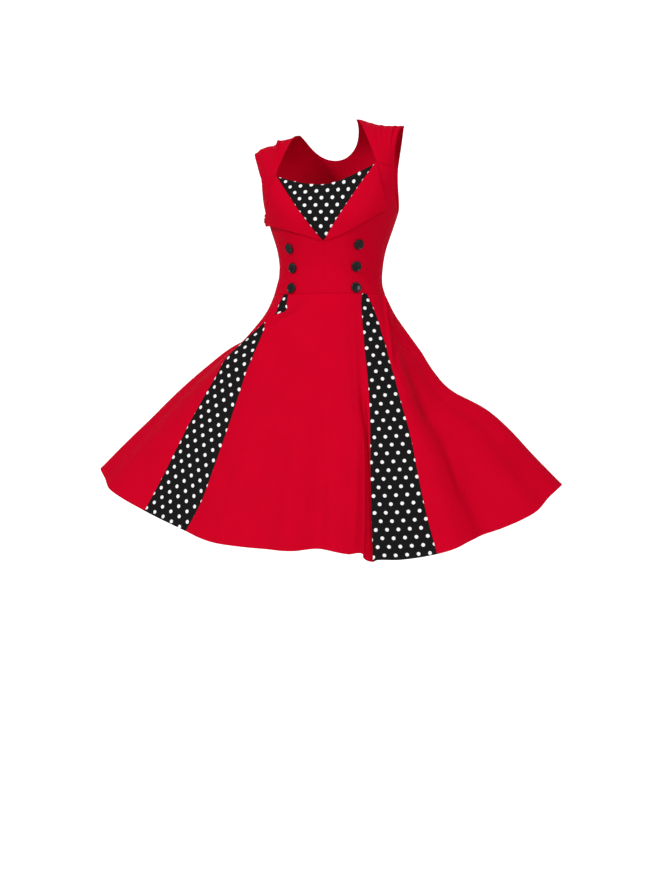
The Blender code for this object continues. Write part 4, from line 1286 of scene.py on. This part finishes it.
def stage_and_camera():
    """Pale floor and backdrop in one sweep, soft light, and the camera."""
    scene = bpy.context.scene
    scene.view_settings.view_transform = "Standard"
    right = Vector((math.cos(CAMERA_TURN), math.sin(CAMERA_TURN), 0))
    forward = Vector((-math.sin(CAMERA_TURN), math.cos(CAMERA_TURN), 0))
    aside, up = CAMERA_PLACE
    camera = linked("camera", bpy.data.cameras.new("camera"))
    camera.location = right * aside + Vector((0, 0, up)) - forward * CAMERA_AWAY
    camera.rotation_euler = (math.pi / 2, 0, CAMERA_TURN)
    camera.data.sensor_fit = "VERTICAL"
    camera.data.sensor_height = 24
    camera.data.lens = LENS
    camera.data.clip_end = 60
    scene.camera = camera

    sweep = bmesh.new()
    rise = [(BACK + SWEEP * math.sin(angle), SWEEP - SWEEP * math.cos(angle))
            for angle in np.linspace(0.2, math.pi / 2, 8)]
    profile = [(-9, 0), (BACK, 0), *rise, (BACK + SWEEP, 7)]
    corners = [sweep.verts.new((-9, y, z + FLOOR)) for y, z in profile]
    edges = [sweep.edges.new(pair) for pair in zip(corners, corners[1:])]
    wide = bmesh.ops.extrude_edge_only(sweep, edges=edges)["geom"]
    far = [item for item in wide if isinstance(item, bmesh.types.BMVert)]
    bmesh.ops.translate(sweep, verts=far, vec=(18, 0, 0))
    bmesh.ops.recalc_face_normals(sweep, faces=sweep.faces[:])
    mesh = bpy.data.meshes.new("backdrop")
    sweep.to_mesh(mesh)
    sweep.free()
    mesh.shade_smooth()
    pale, tree, shader = principled("backdrop", 0.9, 0.1)
    glow = maths(tree, "MULTIPLY", add(tree, "LightPath").outputs["Is Camera Ray"], 0.6)
    fill(tree, shader, {"Base Color": (0.85, 0.85, 0.85, 1), "Emission Color": (1, 1, 1, 1),
                        "Emission Strength": glow})
    mesh.materials.append(pale)
    linked("backdrop", mesh)

    world = bpy.data.worlds.new("studio")
    world.use_nodes = True
    fill(world.node_tree, world.node_tree.nodes["Background"], {"Color": (1, 1, 1, 1), "Strength": 0.4})
    scene.world = world
    aim = Vector((0, 0, -0.5))
    for name, place, size, power in (("key", (-3.9, -6.0, 4.4), 1.6, 375),
                                     ("fill", (4.8, -6.0, 2.6), 3.0, 225)):
        light = linked(name, bpy.data.lights.new(name, "AREA"))
        light.data.size = size
        light.data.energy = power
        light.location = place
        light.rotation_euler = (aim - Vector(place)).to_track_quat("-Z", "Y").to_euler()


# ---------------- the dress
def main():
    """Put the studio and every piece of the dress in the scene."""
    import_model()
    stage_and_camera()
    groups = {"weave": weave(), "dots": polka_dots()}
    red = cloth_material("red_sateen", (0.536, 0.0004, 0.0160), groups)
    dotted = {piece: cloth_material(f"dotted_{piece}", (0.0101, 0.0093, 0.0095), groups, piece)
              for piece in DOTS}
    red_thread = thread_material("red_thread", (0.5, 0.001, 0.018))
    black_thread = thread_material("black_thread", (0.02, 0.02, 0.021))
    for side, hand in HANDS.items():
        bodice_fronts(side, hand, red)
        bodice_backs(side, hand, red)
        straps(side, hand, red)
        lapels(side, hand, red)
    neck_insert(dotted.pop("insert"))
    hems = skirt_pieces(red, dotted)
    for name, slot, material in (("hem_stitches_red", "red_cloth", red_thread),
                                 ("hem_stitches_black", "dotted_cloth", black_thread)):
        thread(name, stitches(hems[slot]), THREAD_RADIUS, material, slot)
    plastic = hard_material("button_plastic", (0.0095, 0.0090, 0.0095), (0.14, 0.26), 0.0, 0.004, 0.22)
    buttons(plastic, black_thread)
    zip_fastener(hard_material("zip_steel", (0.45, 0.45, 0.46), (0.26, 0.42), 1.0, 0.0006))


main()
